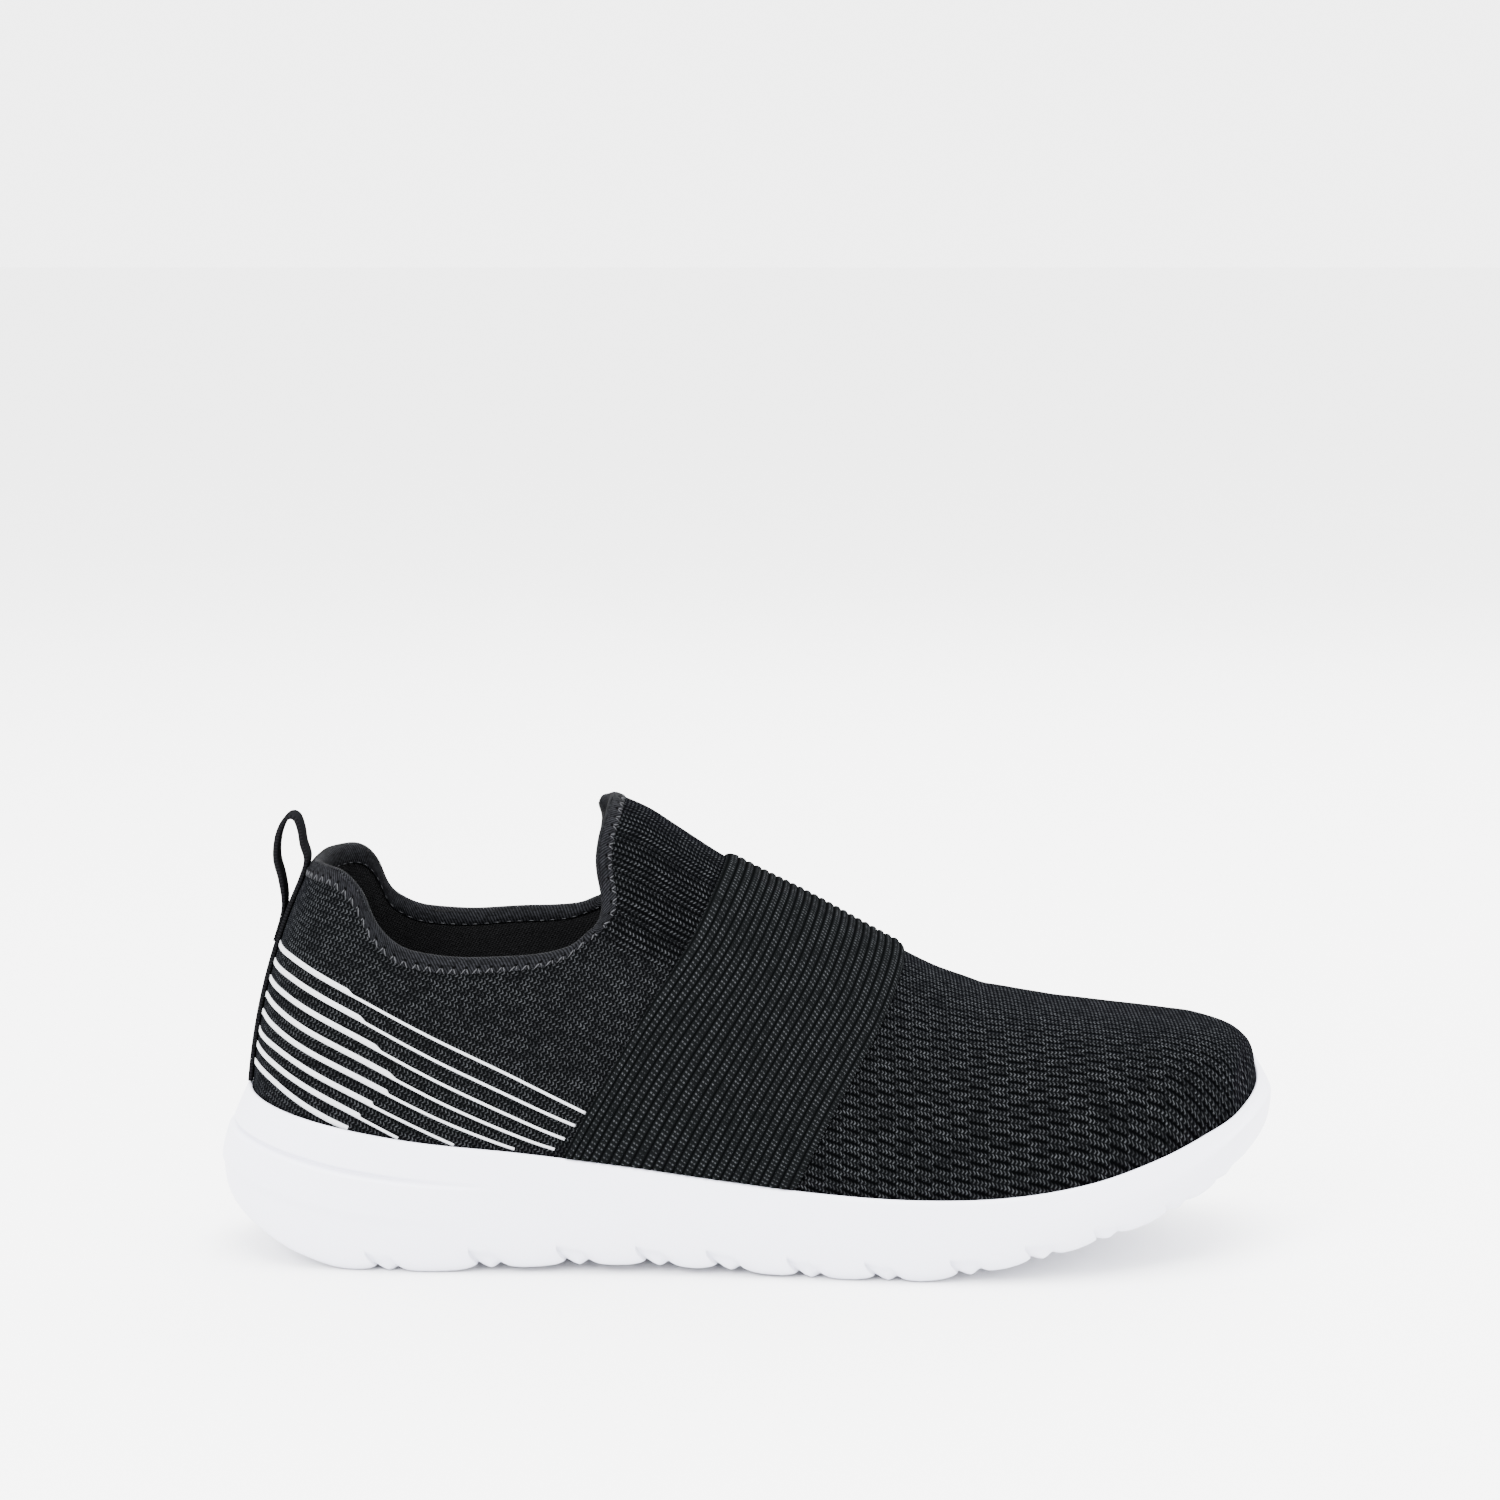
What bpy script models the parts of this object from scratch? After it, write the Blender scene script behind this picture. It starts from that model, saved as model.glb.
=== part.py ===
"""Slip-on sneaker for the right foot: knitted upper, collar binding, ribbed instep strap,
heel loop, insole and one-piece sole, standing on the floor with the toe toward +X and +Z up."""

from collections import namedtuple

import bmesh
import bpy
import numpy as np

# Overall sizes, in metres
LENGTH = 0.298
BALL_WIDTH = 0.108
CREST_HEIGHT = 0.1285
COLLAR_HEIGHT = 0.110
RIM_HEIGHT = 0.0455
TOE_SPRING = 0.031

# Walls and fits
FIT = 0.0003
UPPER_WALL = 0.0022
COLLAR_PAD = 0.0026
COLLAR_LIP = 0.0030
PAD_REACH = 0.034
PAD_POWER = 1.5
BINDING_WIDTH = 0.0042
BINDING_RISE = 0.0002
STRAP_THICKNESS = 0.0017
MEDIAL_COLLAR_RISE = 0.0020

# Sole details
TREAD_INSET = 0.0045
LOWER_INSET = 0.0012
LUG_STEP = 0.0016
LUG_STEP_WIDTH = 0.0010
GROOVE_DEPTH = 0.0020
GROOVE_WIDTH = 0.0050
RIM_LIP = 0.0016
RIM_ROUND = 0.0009
PARTING_STEP = 0.0007
PARTING_HEIGHT = 0.0008

# The sole's side: shares of the height from the tread to the bulge and from the bulge to the
# rim, how far it leans in toward the rim there, and where the parting step fades out along
# the length
LOWER_SHARE = 0.35
LOWER_GROOVE = 0.5
PARTING_SHARE = 0.55
PARTING_LEAN = 0.42
TOP_LEAN = 0.441
PARTING_FULL = 0.15
PARTING_END = 0.27

# Heights of the rings down the inside of the rim, as shares from the bed to the rim
CUP_SHARES = (0.75, 0.4)

# Insole
INSOLE_THICKNESS = 0.0040
INSOLE_EDGE_GAP = 0.0008
INSOLE_SHOULDER = 0.75

# Heel loop and the tape under it
LOOP_WIDTH = 0.0110
LOOP_THICKNESS = 0.0013
LOOP_FREE = 0.0100

# The middle of the loop's webbing from the rim up the back of the heel, round the loop and
# down to its sewn tail: distance out from the heel in metres, and height from the rim at 0
# to the collar at 1.
Turn = namedtuple("Turn", "out height")
TURNS = (
    Turn(0.00095, 0.010),
    Turn(0.00095, 0.227),
    Turn(0.00095, 0.468),
    Turn(0.00095, 0.656),
    Turn(0.00095, 0.794),
    Turn(0.00100, 0.906),
    Turn(0.00160, 0.991),
    Turn(0.00430, 1.062),
    Turn(0.00740, 1.124),
    Turn(0.01110, 1.170),
    Turn(0.01370, 1.186),
    Turn(0.01510, 1.163),
    Turn(0.01440, 1.093),
    Turn(0.01150, 1.000),
    Turn(0.00680, 0.906),
    Turn(0.00360, 0.820),
    Turn(0.00270, 0.749),
    Turn(0.00260, 0.639),
)

# A section of the sole and of the upper's lower edge. Along is a share of the length,
# lateral and medial are shares of the ball width, ground is a share of the toe spring,
# bulge, bed and both rims are shares of the rim height, and reach is in metres.
Section = namedtuple(
    "Section", "along lateral medial reach ground bulge bed rim_lateral rim_medial"
)
SECTIONS = (
    Section(0.000, 0.000, 0.000, 0.0078, 0.480, 0.540, 0.670, 1.010, 1.010),
    Section(0.010, -0.153, 0.144, 0.0072, 0.400, 0.530, 0.670, 1.005, 1.005),
    Section(0.037, -0.259, 0.250, 0.0062, 0.260, 0.480, 0.670, 0.966, 0.966),
    Section(0.077, -0.338, 0.319, 0.0052, 0.100, 0.420, 0.660, 0.918, 0.918),
    Section(0.131, -0.384, 0.361, 0.0045, 0.000, 0.350, 0.650, 0.858, 0.870),
    Section(0.198, -0.406, 0.380, 0.0040, 0.000, 0.310, 0.626, 0.798, 0.823),
    Section(0.285, -0.407, 0.366, 0.0037, 0.040, 0.286, 0.582, 0.742, 0.775),
    Section(0.379, -0.412, 0.343, 0.0034, 0.065, 0.275, 0.527, 0.668, 0.714),
    Section(0.473, -0.437, 0.356, 0.0032, 0.040, 0.264, 0.462, 0.589, 0.637),
    Section(0.560, -0.477, 0.403, 0.0030, 0.000, 0.253, 0.409, 0.534, 0.573),
    Section(0.648, -0.509, 0.463, 0.0030, 0.000, 0.242, 0.374, 0.508, 0.548),
    Section(0.735, -0.509, 0.491, 0.0032, 0.116, 0.286, 0.363, 0.520, 0.580),
    Section(0.815, -0.468, 0.486, 0.0036, 0.290, 0.396, 0.407, 0.584, 0.710),
    Section(0.883, -0.384, 0.444, 0.0040, 0.461, 0.505, 0.505, 0.690, 0.900),
    Section(0.936, -0.273, 0.375, 0.0042, 0.645, 0.660, 0.637, 0.800, 1.030),
    Section(0.973, -0.144, 0.296, 0.0043, 0.839, 0.813, 0.747, 0.885, 1.085),
    Section(1.000, 0.100, 0.100, 0.0043, 1.000, 0.912, 0.813, 0.985, 0.985),
)

# The upper over each section: where its rib meets the crest line, along and across, and
# the powers that fill out the side and the top of the rib.
Form = namedtuple("Form", "crest ridge side_power top_power")
FORMS = (
    Form(0.275, 0.000, 2.00, 1.50),
    Form(0.276, 0.000, 2.05, 1.50),
    Form(0.278, 0.000, 2.20, 1.50),
    Form(0.282, 0.000, 2.40, 1.52),
    Form(0.288, 0.000, 2.60, 1.55),
    Form(0.300, 0.004, 2.70, 1.60),
    Form(0.325, 0.010, 2.50, 1.72),
    Form(0.385, 0.018, 1.95, 2.00),
    Form(0.473, 0.028, 1.62, 2.10),
    Form(0.560, 0.037, 1.66, 2.12),
    Form(0.648, 0.046, 1.90, 2.18),
    Form(0.735, 0.056, 2.20, 2.35),
    Form(0.808, 0.068, 2.55, 2.65),
    Form(0.850, 0.076, 3.00, 3.10),
    Form(0.868, 0.080, 3.60, 3.70),
    Form(0.874, 0.082, 4.30, 4.40),
    Form(0.876, 0.085, 4.70, 4.70),
)

# The top line seen from the side, as shares of the length and of the crest height. Behind
# the tongue it goes on as the line of the last that the opening cuts away.
Crest = namedtuple("Crest", "along height")
CRESTS = (
    Crest(0.000, 1.284),
    Crest(0.130, 1.276),
    Crest(0.230, 1.206),
    Crest(0.300, 1.105),
    Crest(0.369, 1.000),
    Crest(0.405, 0.961),
    Crest(0.430, 0.923),
    Crest(0.477, 0.852),
    Crest(0.558, 0.753),
    Crest(0.640, 0.646),
    Crest(0.685, 0.594),
    Crest(0.743, 0.556),
    Crest(0.816, 0.528),
    Crest(0.889, 0.506),
    Crest(0.943, 0.488),
    Crest(1.000, 0.472),
)

# Ribs of the upper from the heel to the toe, each given where it stands at the bed, at the
# height of the collar and at the crest, as shares of the length along the bed. Height is
# the collar's, as a share of the collar height, and ribs counts the steps to the next row.
Rib = namedtuple("Rib", "foot middle top height ribs")
RIBS = (
    Rib(0.000, 0.000, 0.000, 0.995, 2),
    Rib(0.018, 0.018, 0.018, 1.001, 2),
    Rib(0.060, 0.060, 0.060, 0.998, 3),
    Rib(0.103, 0.105, 0.105, 0.955, 3),
    Rib(0.132, 0.139, 0.139, 0.862, 2),
    Rib(0.160, 0.176, 0.176, 0.806, 2),
    Rib(0.190, 0.232, 0.232, 0.789, 3),
    Rib(0.218, 0.292, 0.292, 0.794, 2),
    Rib(0.242, 0.330, 0.330, 0.814, 3),
    Rib(0.262, 0.353, 0.362, 0.860, 1),
    Rib(0.278, 0.365, 0.376, 0.868, 1),
    Rib(0.279, 0.366, 0.377, 0.868, 3),
    Rib(0.316, 0.441, 0.477, 0.800, 4),
    Rib(0.425, 0.534, 0.562, 0.715, 4),
    Rib(0.532, 0.621, 0.646, 0.610, 4),
    Rib(0.668, 0.713, 0.736, 0.540, 4),
    Rib(0.792, 0.801, 0.808, 0.500, 3),
    Rib(0.884, 0.884, 0.884, 0.480, 3),
    Rib(0.945, 0.945, 0.945, 0.460, 4),
    Rib(1.000, 1.000, 1.000, 0.440, 0),
)
TONGUE_ROW = 9
SEAM_ROW = 10
STRAP_START_ROW = 12
STRAP_END_ROW = 14

# The tongue's edge between the collar's corner and the crest: how far ahead of the line
# between them it stands, as a share of the length, at even steps upward.
TONGUE_EDGE = (0.000, 0.0075, 0.0050, -0.0015, -0.0045, -0.0040, -0.0010, 0.000)

# Rows of the upper's grid up the side, below and above the collar's height
COLLAR_ROWS = 8
CREST_ROWS = 7
TOP_ROW = COLLAR_ROWS + CREST_ROWS

# Columns across the step and the groove behind each lug: how far along the groove's width,
# how much of the lug step is cut back, and how much of the groove's depth
STEP_COLUMNS = ((0.0, 1.0, 1.0), (0.5, 0.8, 1.0), (1.0, 0.6, 0.0))

# Steps between the lugs along the sole's side, as shares of the length
LUG_STEPS = (0.151, 0.248, 0.329, 0.402, 0.467, 0.541, 0.612, 0.690, 0.759, 0.822, 0.891, 0.942)
LUG_END = 0.970
LUG_TAIL = 0.2
HEEL_COLUMNS = (0.0, 0.5, 1.0, 1.5, 2.0, 2.5, 3.0, 3.5, 3.9)
TOE_COLUMNS = (15.0, 15.25, 15.5, 15.75, 16.0)
BED_ACROSS = 4

LAST_SECTION = len(SECTIONS) - 1
LATERAL = -1
MEDIAL = 1


# Smooth runs through the tables

def smooth_run(values, at):
    """The run through evenly numbered values that close on themselves, at each place."""
    values = np.asarray(values, float)
    count = len(values)
    start = np.floor(at).astype(int)
    share = at - start
    before, first, second, after = (values[(start + step) % count] for step in (-1, 0, 1, 2))
    return 0.5 * (
        2 * first
        + (second - before) * share
        + (2 * before - 5 * first + 4 * second - after) * share**2
        + (3 * first - before - 3 * second + after) * share**3
    )


def level_run(places, values, at):
    """The run through values at rising places that never swings beyond its neighbours."""
    places = np.asarray(places, float)
    values = np.asarray(values, float)
    steps = np.diff(places)
    climbs = np.diff(values) / steps
    before, after = climbs[:-1], climbs[1:]
    same_way = before * after > 0
    total = np.where(same_way, before + after, 1.0)
    inner = np.where(same_way, 2 * before * after / total, 0.0)
    slopes = np.concatenate([climbs[:1], inner, climbs[-1:]])
    at = np.clip(at, places[0], places[-1])
    start = np.clip(np.searchsorted(places, at, side="right") - 1, 0, len(steps) - 1)
    step = steps[start]
    share = (at - places[start]) / step
    return (
        values[start] * (1 + 2 * share) * (1 - share) ** 2
        + slopes[start] * step * share * (1 - share) ** 2
        + values[start + 1] * share**2 * (3 - 2 * share)
        + slopes[start + 1] * step * share**2 * (share - 1)
    )


def around(side, place):
    """Where a section place from 0 at the heel to the last at the toe lies on the loop."""
    return place if side == LATERAL else 2 * LAST_SECTION - place


def loop_column(lateral, medial):
    """A table column as one loop: lateral side out to the toe, medial side back."""
    return list(lateral) + list(medial)[-2:0:-1]


def shared_column(table, name):
    values = [getattr(row, name) for row in table]
    return loop_column(values, values)


def section_value(name, loop):
    return smooth_run(shared_column(SECTIONS, name), loop)


def form_value(name, loop):
    return smooth_run(shared_column(FORMS, name), loop)


def outline(loop):
    """The sole's widest outline, seen from above."""
    along = section_value("along", loop)
    across = smooth_run(
        loop_column([row.lateral for row in SECTIONS], [row.medial for row in SECTIONS]), loop
    )
    return np.stack([(along - 0.5) * LENGTH, across * BALL_WIDTH], axis=-1)


def outline_inward(loop):
    """The direction from the outline toward the middle of the sole."""
    nudge = 1e-3
    run = outline(loop + nudge) - outline(loop - nudge)
    inward = np.stack([-run[..., 1], run[..., 0]], axis=-1)
    return inward / np.linalg.norm(inward, axis=-1, keepdims=True)


def inset(loop, distance):
    distance = np.asarray(distance)[..., None]
    return outline(loop) + outline_inward(loop) * distance


def place_at(along):
    """The section place whose outline stands this far along the length."""
    places = np.linspace(0, LAST_SECTION, 40 * LAST_SECTION + 1)
    return np.interp(along, section_value("along", places), places)


def ground_height(loop):
    place = np.minimum(loop, 2 * LAST_SECTION - loop)
    rows = np.arange(LAST_SECTION + 1)
    return TOE_SPRING * level_run(rows, [row.ground for row in SECTIONS], place)


def bed_height(loop):
    return RIM_HEIGHT * section_value("bed", loop)


def bulge_height(loop):
    return RIM_HEIGHT * section_value("bulge", loop)


def rim_height(loop):
    rims = loop_column([row.rim_lateral for row in SECTIONS], [row.rim_medial for row in SECTIONS])
    return RIM_HEIGHT * smooth_run(rims, loop)


def crest_height(x):
    along = x / LENGTH + 0.5
    heights = level_run([row.along for row in CRESTS], [row.height for row in CRESTS], along)
    return CREST_HEIGHT * heights


def last_point(loop, height):
    """The upper's outer surface: a rib from the bed at height 0 to the crest line at 1."""
    foot = inset(loop, section_value("reach", loop))
    crest = np.stack(
        [(form_value("crest", loop) - 0.5) * LENGTH, form_value("ridge", loop) * BALL_WIDTH],
        axis=-1,
    )
    filled = 1 - np.clip(height, 0, 1) ** form_value("side_power", loop)
    spread = filled ** (1 / form_value("top_power", loop))
    across = crest + (foot - crest) * spread[..., None]
    bed = bed_height(loop)
    z = bed + (crest_height(across[..., 0]) - bed) * height
    return np.concatenate([across, z[..., None]], axis=-1)


def height_share(loop, z):
    """The height along a rib at which the upper's surface reaches this z."""
    low = np.zeros_like(loop)
    high = np.ones_like(loop)
    for _ in range(40):
        middle = (low + high) / 2
        below = last_point(loop, middle)[..., 2] < z
        low = np.where(below, middle, low)
        high = np.where(below, high, middle)
    return (low + high) / 2


# The upper's grid of ribs and rows

def rib_numbers():
    """The number of the rib on which each row of the table stands."""
    return np.concatenate([[0], np.cumsum([row.ribs for row in RIBS[:-1]])])


NUMBERS = rib_numbers()
LAST_RIB = int(NUMBERS[-1])
TONGUE_RIB = int(NUMBERS[TONGUE_ROW])
SEAM_RIB = int(NUMBERS[SEAM_ROW])
STRAP_START = int(NUMBERS[STRAP_START_ROW])
STRAP_END = int(NUMBERS[STRAP_END_ROW])


def rib_values(name):
    values = [getattr(row, name) for row in RIBS]
    return level_run(NUMBERS, values, np.arange(LAST_RIB + 1))


def row_shares(side):
    """The height share of every grid vertex on one side, ribs by rows."""
    ribs = np.arange(LAST_RIB + 1)
    foot = around(side, place_at(rib_values("foot")))
    middle = around(side, place_at(rib_values("middle")))
    swell = np.sin(np.pi * np.clip(ribs / TONGUE_RIB, 0, 1)) * (side == MEDIAL)
    edge_z = COLLAR_HEIGHT * rib_values("height") + MEDIAL_COLLAR_RISE * swell
    edge = height_share(middle, edge_z)
    upper_line = height_share(middle, edge_z - BINDING_WIDTH - FIT)
    band_line = height_share(middle, edge_z - BINDING_WIDTH)
    rim = height_share(foot, rim_height(foot) + FIT)
    free = np.clip((ribs - SEAM_RIB - 1) / (STRAP_START - SEAM_RIB - 1), 0, 1)
    shares = np.zeros((LAST_RIB + 1, TOP_ROW + 1))
    shares[:, 1] = rim
    for row in range(2, COLLAR_ROWS + 1):
        even = rim + (edge - rim) * (row - 1) / (COLLAR_ROWS - 1)
        held = rim + (upper_line - rim) * (row - 1) / (COLLAR_ROWS - 3)
        if row == COLLAR_ROWS - 1:
            held = band_line
        if row == COLLAR_ROWS:
            held = edge
        shares[:, row] = held + (even - held) * free
    for row in range(COLLAR_ROWS + 1, TOP_ROW + 1):
        shares[:, row] = edge + (1 - edge) * (row - COLLAR_ROWS) / CREST_ROWS
    return shares


def grid_points(side):
    """The upper's outer surface at every rib and row of one side."""
    shares = row_shares(side)
    edge = shares[:, COLLAR_ROWS]
    foot, middle, top = (rib_values(name) for name in ("foot", "middle", "top"))
    fade = np.clip(1 - (np.arange(LAST_RIB + 1) - SEAM_RIB - 1) / (STRAP_START - SEAM_RIB), 0, 1)
    points = np.zeros((LAST_RIB + 1, TOP_ROW + 1, 3))
    for row in range(TOP_ROW + 1):
        share = shares[:, row]
        below = foot + (middle - foot) * share / edge
        step = max(row - COLLAR_ROWS, 0) / CREST_ROWS
        bow = level_run(range(len(TONGUE_EDGE)), TONGUE_EDGE, step * (len(TONGUE_EDGE) - 1))
        above = middle + (top - middle) * step + bow * fade
        along = below if row <= COLLAR_ROWS else above
        points[:, row] = last_point(around(side, place_at(along)), share)
    return points


def vertex_key(side, rib, row):
    """One key for each vertex: both sides share the heel, the toe and the crest line."""
    shared = rib in (0, LAST_RIB) or row == TOP_ROW
    return (LATERAL if shared else side, rib, row)


def cell_corners(side, rib, row):
    """The four keys round a cell, seen from outside in counter-clockwise order."""
    corners = [(rib, row), (rib + 1, row), (rib + 1, row + 1), (rib, row + 1)]
    if side == MEDIAL:
        corners.reverse()
    keys = [vertex_key(side, *corner) for corner in corners]
    return [key for number, key in enumerate(keys) if key != keys[number - 1]]


def all_cells():
    """Every cell of the grid: the collar's rows all round, the crest's rows ahead of it."""
    return [
        (side, rib, row)
        for side in (LATERAL, MEDIAL)
        for rib in range(LAST_RIB)
        for row in range(TOP_ROW)
        if row < COLLAR_ROWS or rib >= TONGUE_RIB
    ]


def is_binding(cell):
    _, rib, row = cell
    along_collar = rib < TONGUE_RIB and row == COLLAR_ROWS - 1
    up_tongue = rib == TONGUE_RIB and row >= COLLAR_ROWS - 1
    return along_collar or up_tongue


def is_seam(cell):
    _, rib, row = cell
    along_collar = rib <= SEAM_RIB and row == COLLAR_ROWS - 2
    up_tongue = rib == SEAM_RIB and row >= COLLAR_ROWS - 2
    return along_collar or up_tongue


def grid_frame():
    """The point and the outward normal of every vertex of the grid. Both sides of the seam
    under the binding share their normals, so that it stays open through the wall."""
    sides = {side: grid_points(side) for side in (LATERAL, MEDIAL)}
    points = {}
    normals = {}
    for cell in all_cells():
        corners = cell_corners(*cell)
        for key in corners:
            points[key] = sides[key[0]][key[1], key[2]]
        face = np.array([points[key] for key in corners])
        turned = np.roll(face, -1, axis=0)
        area = np.cross(face, turned).sum(axis=0)
        for key in corners:
            normals[key] = normals.get(key, np.zeros(3)) + area
    units = {key: normal / np.linalg.norm(normal) for key, normal in normals.items()}
    for side in (LATERAL, MEDIAL):
        for rib in range(SEAM_RIB + 1):
            below = vertex_key(side, rib, COLLAR_ROWS - 2)
            units[below] = units[vertex_key(side, rib, COLLAR_ROWS - 1)]
        for row in range(COLLAR_ROWS - 2, TOP_ROW + 1):
            ahead = vertex_key(side, SEAM_RIB + 1, row)
            units[ahead] = units[vertex_key(side, SEAM_RIB, max(row, COLLAR_ROWS - 1))]
    return points, units


def wall_at(key, points):
    """The upper's wall: thin over the foot, padded below the collar, slimmer at its lip."""
    _, rib, row = key
    edge_rib = SEAM_RIB if rib > SEAM_RIB else min(rib, TONGUE_RIB)
    edge = points[vertex_key(key[0], edge_rib, max(row, COLLAR_ROWS))]
    away = np.linalg.norm(points[key] - edge) / PAD_REACH
    pad = COLLAR_PAD * np.clip(1 - away, 0, 1) ** PAD_POWER
    on_edge = rib <= TONGUE_RIB and row >= COLLAR_ROWS
    return COLLAR_LIP if on_edge else UPPER_WALL + pad


# Solids

def add_object(name, bm, material):
    mesh = bpy.data.meshes.new(name)
    bmesh.ops.recalc_face_normals(bm, faces=bm.faces)
    for face in bm.faces:
        face.smooth = True
    bm.to_mesh(mesh)
    bm.free()
    piece = bpy.data.objects.new(name, mesh)
    piece.data.materials.append(material)
    bpy.context.scene.collection.objects.link(piece)
    return piece


def shell_object(name, cells, outer, inner, material):
    """A closed skin over some cells of the grid, between an outer and an inner point for
    each vertex, with a wall along every free edge."""
    bm = bmesh.new()
    skins = []
    for spot in (outer, inner):
        skins.append({})
        for cell in cells:
            for key in cell_corners(*cell):
                if key not in skins[-1]:
                    skins[-1][key] = bm.verts.new(spot(key))
    free_edges = {}
    for cell in cells:
        corners = cell_corners(*cell)
        for triangle in (corners[:3], corners[:1] + corners[2:]):
            if len(triangle) == 3:
                bm.faces.new([skins[0][key] for key in triangle])
                bm.faces.new([skins[1][key] for key in reversed(triangle)])
        for start, end in zip(corners, corners[1:] + corners[:1]):
            if (end, start) in free_edges:
                del free_edges[end, start]
            else:
                free_edges[start, end] = True
    for start, end in free_edges:
        bm.faces.new([skins[0][end], skins[0][start], skins[1][start], skins[1][end]])
    return add_object(name, bm, material)


def loft_object(name, rings, closes, material):
    """A closed solid from rings of points, each joined to the next, whose first and last
    rings are filled by strips from the lateral to the medial side."""
    bm = bmesh.new()
    rows = [[bm.verts.new(point) for point in ring] for ring in rings]
    count = len(rows[0])
    half = count // 2
    for lower, upper in zip(rows, rows[1:]):
        for number in range(count):
            following = (number + 1) % count
            bm.faces.new([lower[number], lower[following], upper[following], upper[number]])
    for ring, flat_points in zip((rows[0], rows[-1]), closes):
        lines = [[ring[0]]]
        for number in range(1, half):
            inner = [bm.verts.new(point) for point in flat_points[number - 1]]
            lines.append([ring[number], *inner, ring[count - number]])
        lines.append([ring[half]])
        for before, after in zip(lines, lines[1:]):
            join_lines(bm, before, after)
    return add_object(name, bm, material)


def join_lines(bm, before, after):
    """Faces between two lines of vertices, either of which may be a single end point."""
    steps = max(len(before), len(after)) - 1
    for number in range(steps):
        corners = [
            before[min(number, len(before) - 1)],
            before[min(number + 1, len(before) - 1)],
            after[min(number + 1, len(after) - 1)],
            after[min(number, len(after) - 1)],
        ]
        bm.faces.new(list(dict.fromkeys(corners)))


def across_points(ring, half):
    """Points that divide each line from a ring's lateral to its medial side evenly."""
    shares = np.linspace(0, 1, BED_ACROSS + 1)[1:-1, None]
    return [
        ring[number] * (1 - shares) + ring[len(ring) - number] * shares
        for number in range(1, half)
    ]


def make_material(name, colour, roughness):
    material = bpy.data.materials.new(name)
    material.use_nodes = True
    shader = material.node_tree.nodes["Principled BSDF"]
    shader.inputs["Base Color"].default_value = (*colour, 1)
    shader.inputs["Roughness"].default_value = roughness
    shader.inputs["Metallic"].default_value = 0
    return material


# The pieces

def sole_places():
    """The places of the sole's columns, and how far into a lug step each one stands."""
    columns = [(place, 0.0, 0.0) for place in HEEL_COLUMNS]
    for number, step in enumerate(LUG_STEPS):
        after = LUG_STEPS[number + 1] if number + 1 < len(LUG_STEPS) else LUG_END
        width = LUG_STEP_WIDTH / LENGTH
        groove = GROOVE_WIDTH / LENGTH
        columns.append((float(place_at(step - width)), 0.0, 0.0))
        for share, cut_back, cut_up in STEP_COLUMNS:
            columns.append((float(place_at(step + groove * share)), cut_back, cut_up))
        columns.append((float(place_at((step + groove + after) / 2)), LUG_TAIL, 0.0))
    columns += [(place, 0.0, 0.0) for place in TOE_COLUMNS]
    return columns


def sole_rings():
    """The rings of the sole from the bottom's edge up over the rim and down to the bed."""
    columns = sole_places()
    columns = columns + columns[-2:0:-1]
    half = len(columns) // 2
    loop = np.array(
        [
            place if number <= half else 2 * LAST_SECTION - place
            for number, (place, _, _) in enumerate(columns)
        ]
    )
    lug = LUG_STEP * np.array([column[1] for column in columns])
    groove = GROOVE_DEPTH * np.array([column[2] for column in columns])
    ground = ground_height(loop)
    bulge = bulge_height(loop)
    rim = rim_height(loop)
    bed = bed_height(loop)
    reach = section_value("reach", loop)
    along = section_value("along", loop)
    lower = ground + (bulge - ground) * LOWER_SHARE
    parting = bulge + (rim - bulge) * PARTING_SHARE
    fade = np.clip((PARTING_END - along) / (PARTING_END - PARTING_FULL), 0, 1)
    step = (PARTING_STEP * fade)[:, None]
    rim_foot = last_point(loop, height_share(loop, rim))
    top_inner = rim_foot[:, :2] - outline_inward(loop) * FIT
    top_outer = rim_foot[:, :2] - outline_inward(loop) * (FIT + RIM_LIP)
    lean = top_outer - outline(loop)

    def ring(flat, z):
        return np.concatenate([flat, z[:, None]], axis=1)

    def cup_ring(share):
        cup = last_point(loop, height_share(loop, bed + (rim - bed) * share))
        return ring(cup[:, :2] - outline_inward(loop) * FIT, cup[:, 2])

    return half, [
        ring(inset(loop, TREAD_INSET + lug), ground + groove),
        ring(inset(loop, LOWER_INSET + lug), lower + groove * LOWER_GROOVE),
        ring(outline(loop), bulge),
        ring(outline(loop) + lean * PARTING_LEAN - outline_inward(loop) * step, parting),
        ring(outline(loop) + lean * TOP_LEAN, parting + PARTING_HEIGHT),
        ring(top_outer, rim - RIM_ROUND),
        ring((top_outer + top_inner) / 2, rim),
        ring(top_inner, rim - RIM_ROUND / 3),
        *(cup_ring(share) for share in CUP_SHARES),
        ring(inset(loop, reach - FIT), bed),
    ]


def build_sole(material):
    half, rings = sole_rings()
    closes = (across_points(rings[0], half), across_points(rings[-1], half))
    return loft_object("sole", rings, closes, material)


def build_insole(material):
    """A flat footbed inside the upper's wall, just above the sole's bed."""
    places = np.linspace(0, LAST_SECTION, 2 * LAST_SECTION + 1)
    loop = np.concatenate([places, 2 * LAST_SECTION - places[-2:0:-1]])
    half = len(loop) // 2
    bed = bed_height(loop) + FIT
    edge = inset(loop, section_value("reach", loop) + UPPER_WALL + INSOLE_EDGE_GAP)
    soft = inset(loop, section_value("reach", loop) + UPPER_WALL + 2 * INSOLE_EDGE_GAP)
    rings = [
        np.concatenate([edge, bed[:, None]], axis=1),
        np.concatenate([edge, bed[:, None] + INSOLE_SHOULDER * INSOLE_THICKNESS], axis=1),
        np.concatenate([soft, bed[:, None] + INSOLE_THICKNESS], axis=1),
    ]
    closes = (across_points(rings[0], half), across_points(rings[-1], half))
    return loft_object("insole", rings, closes, material)


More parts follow.
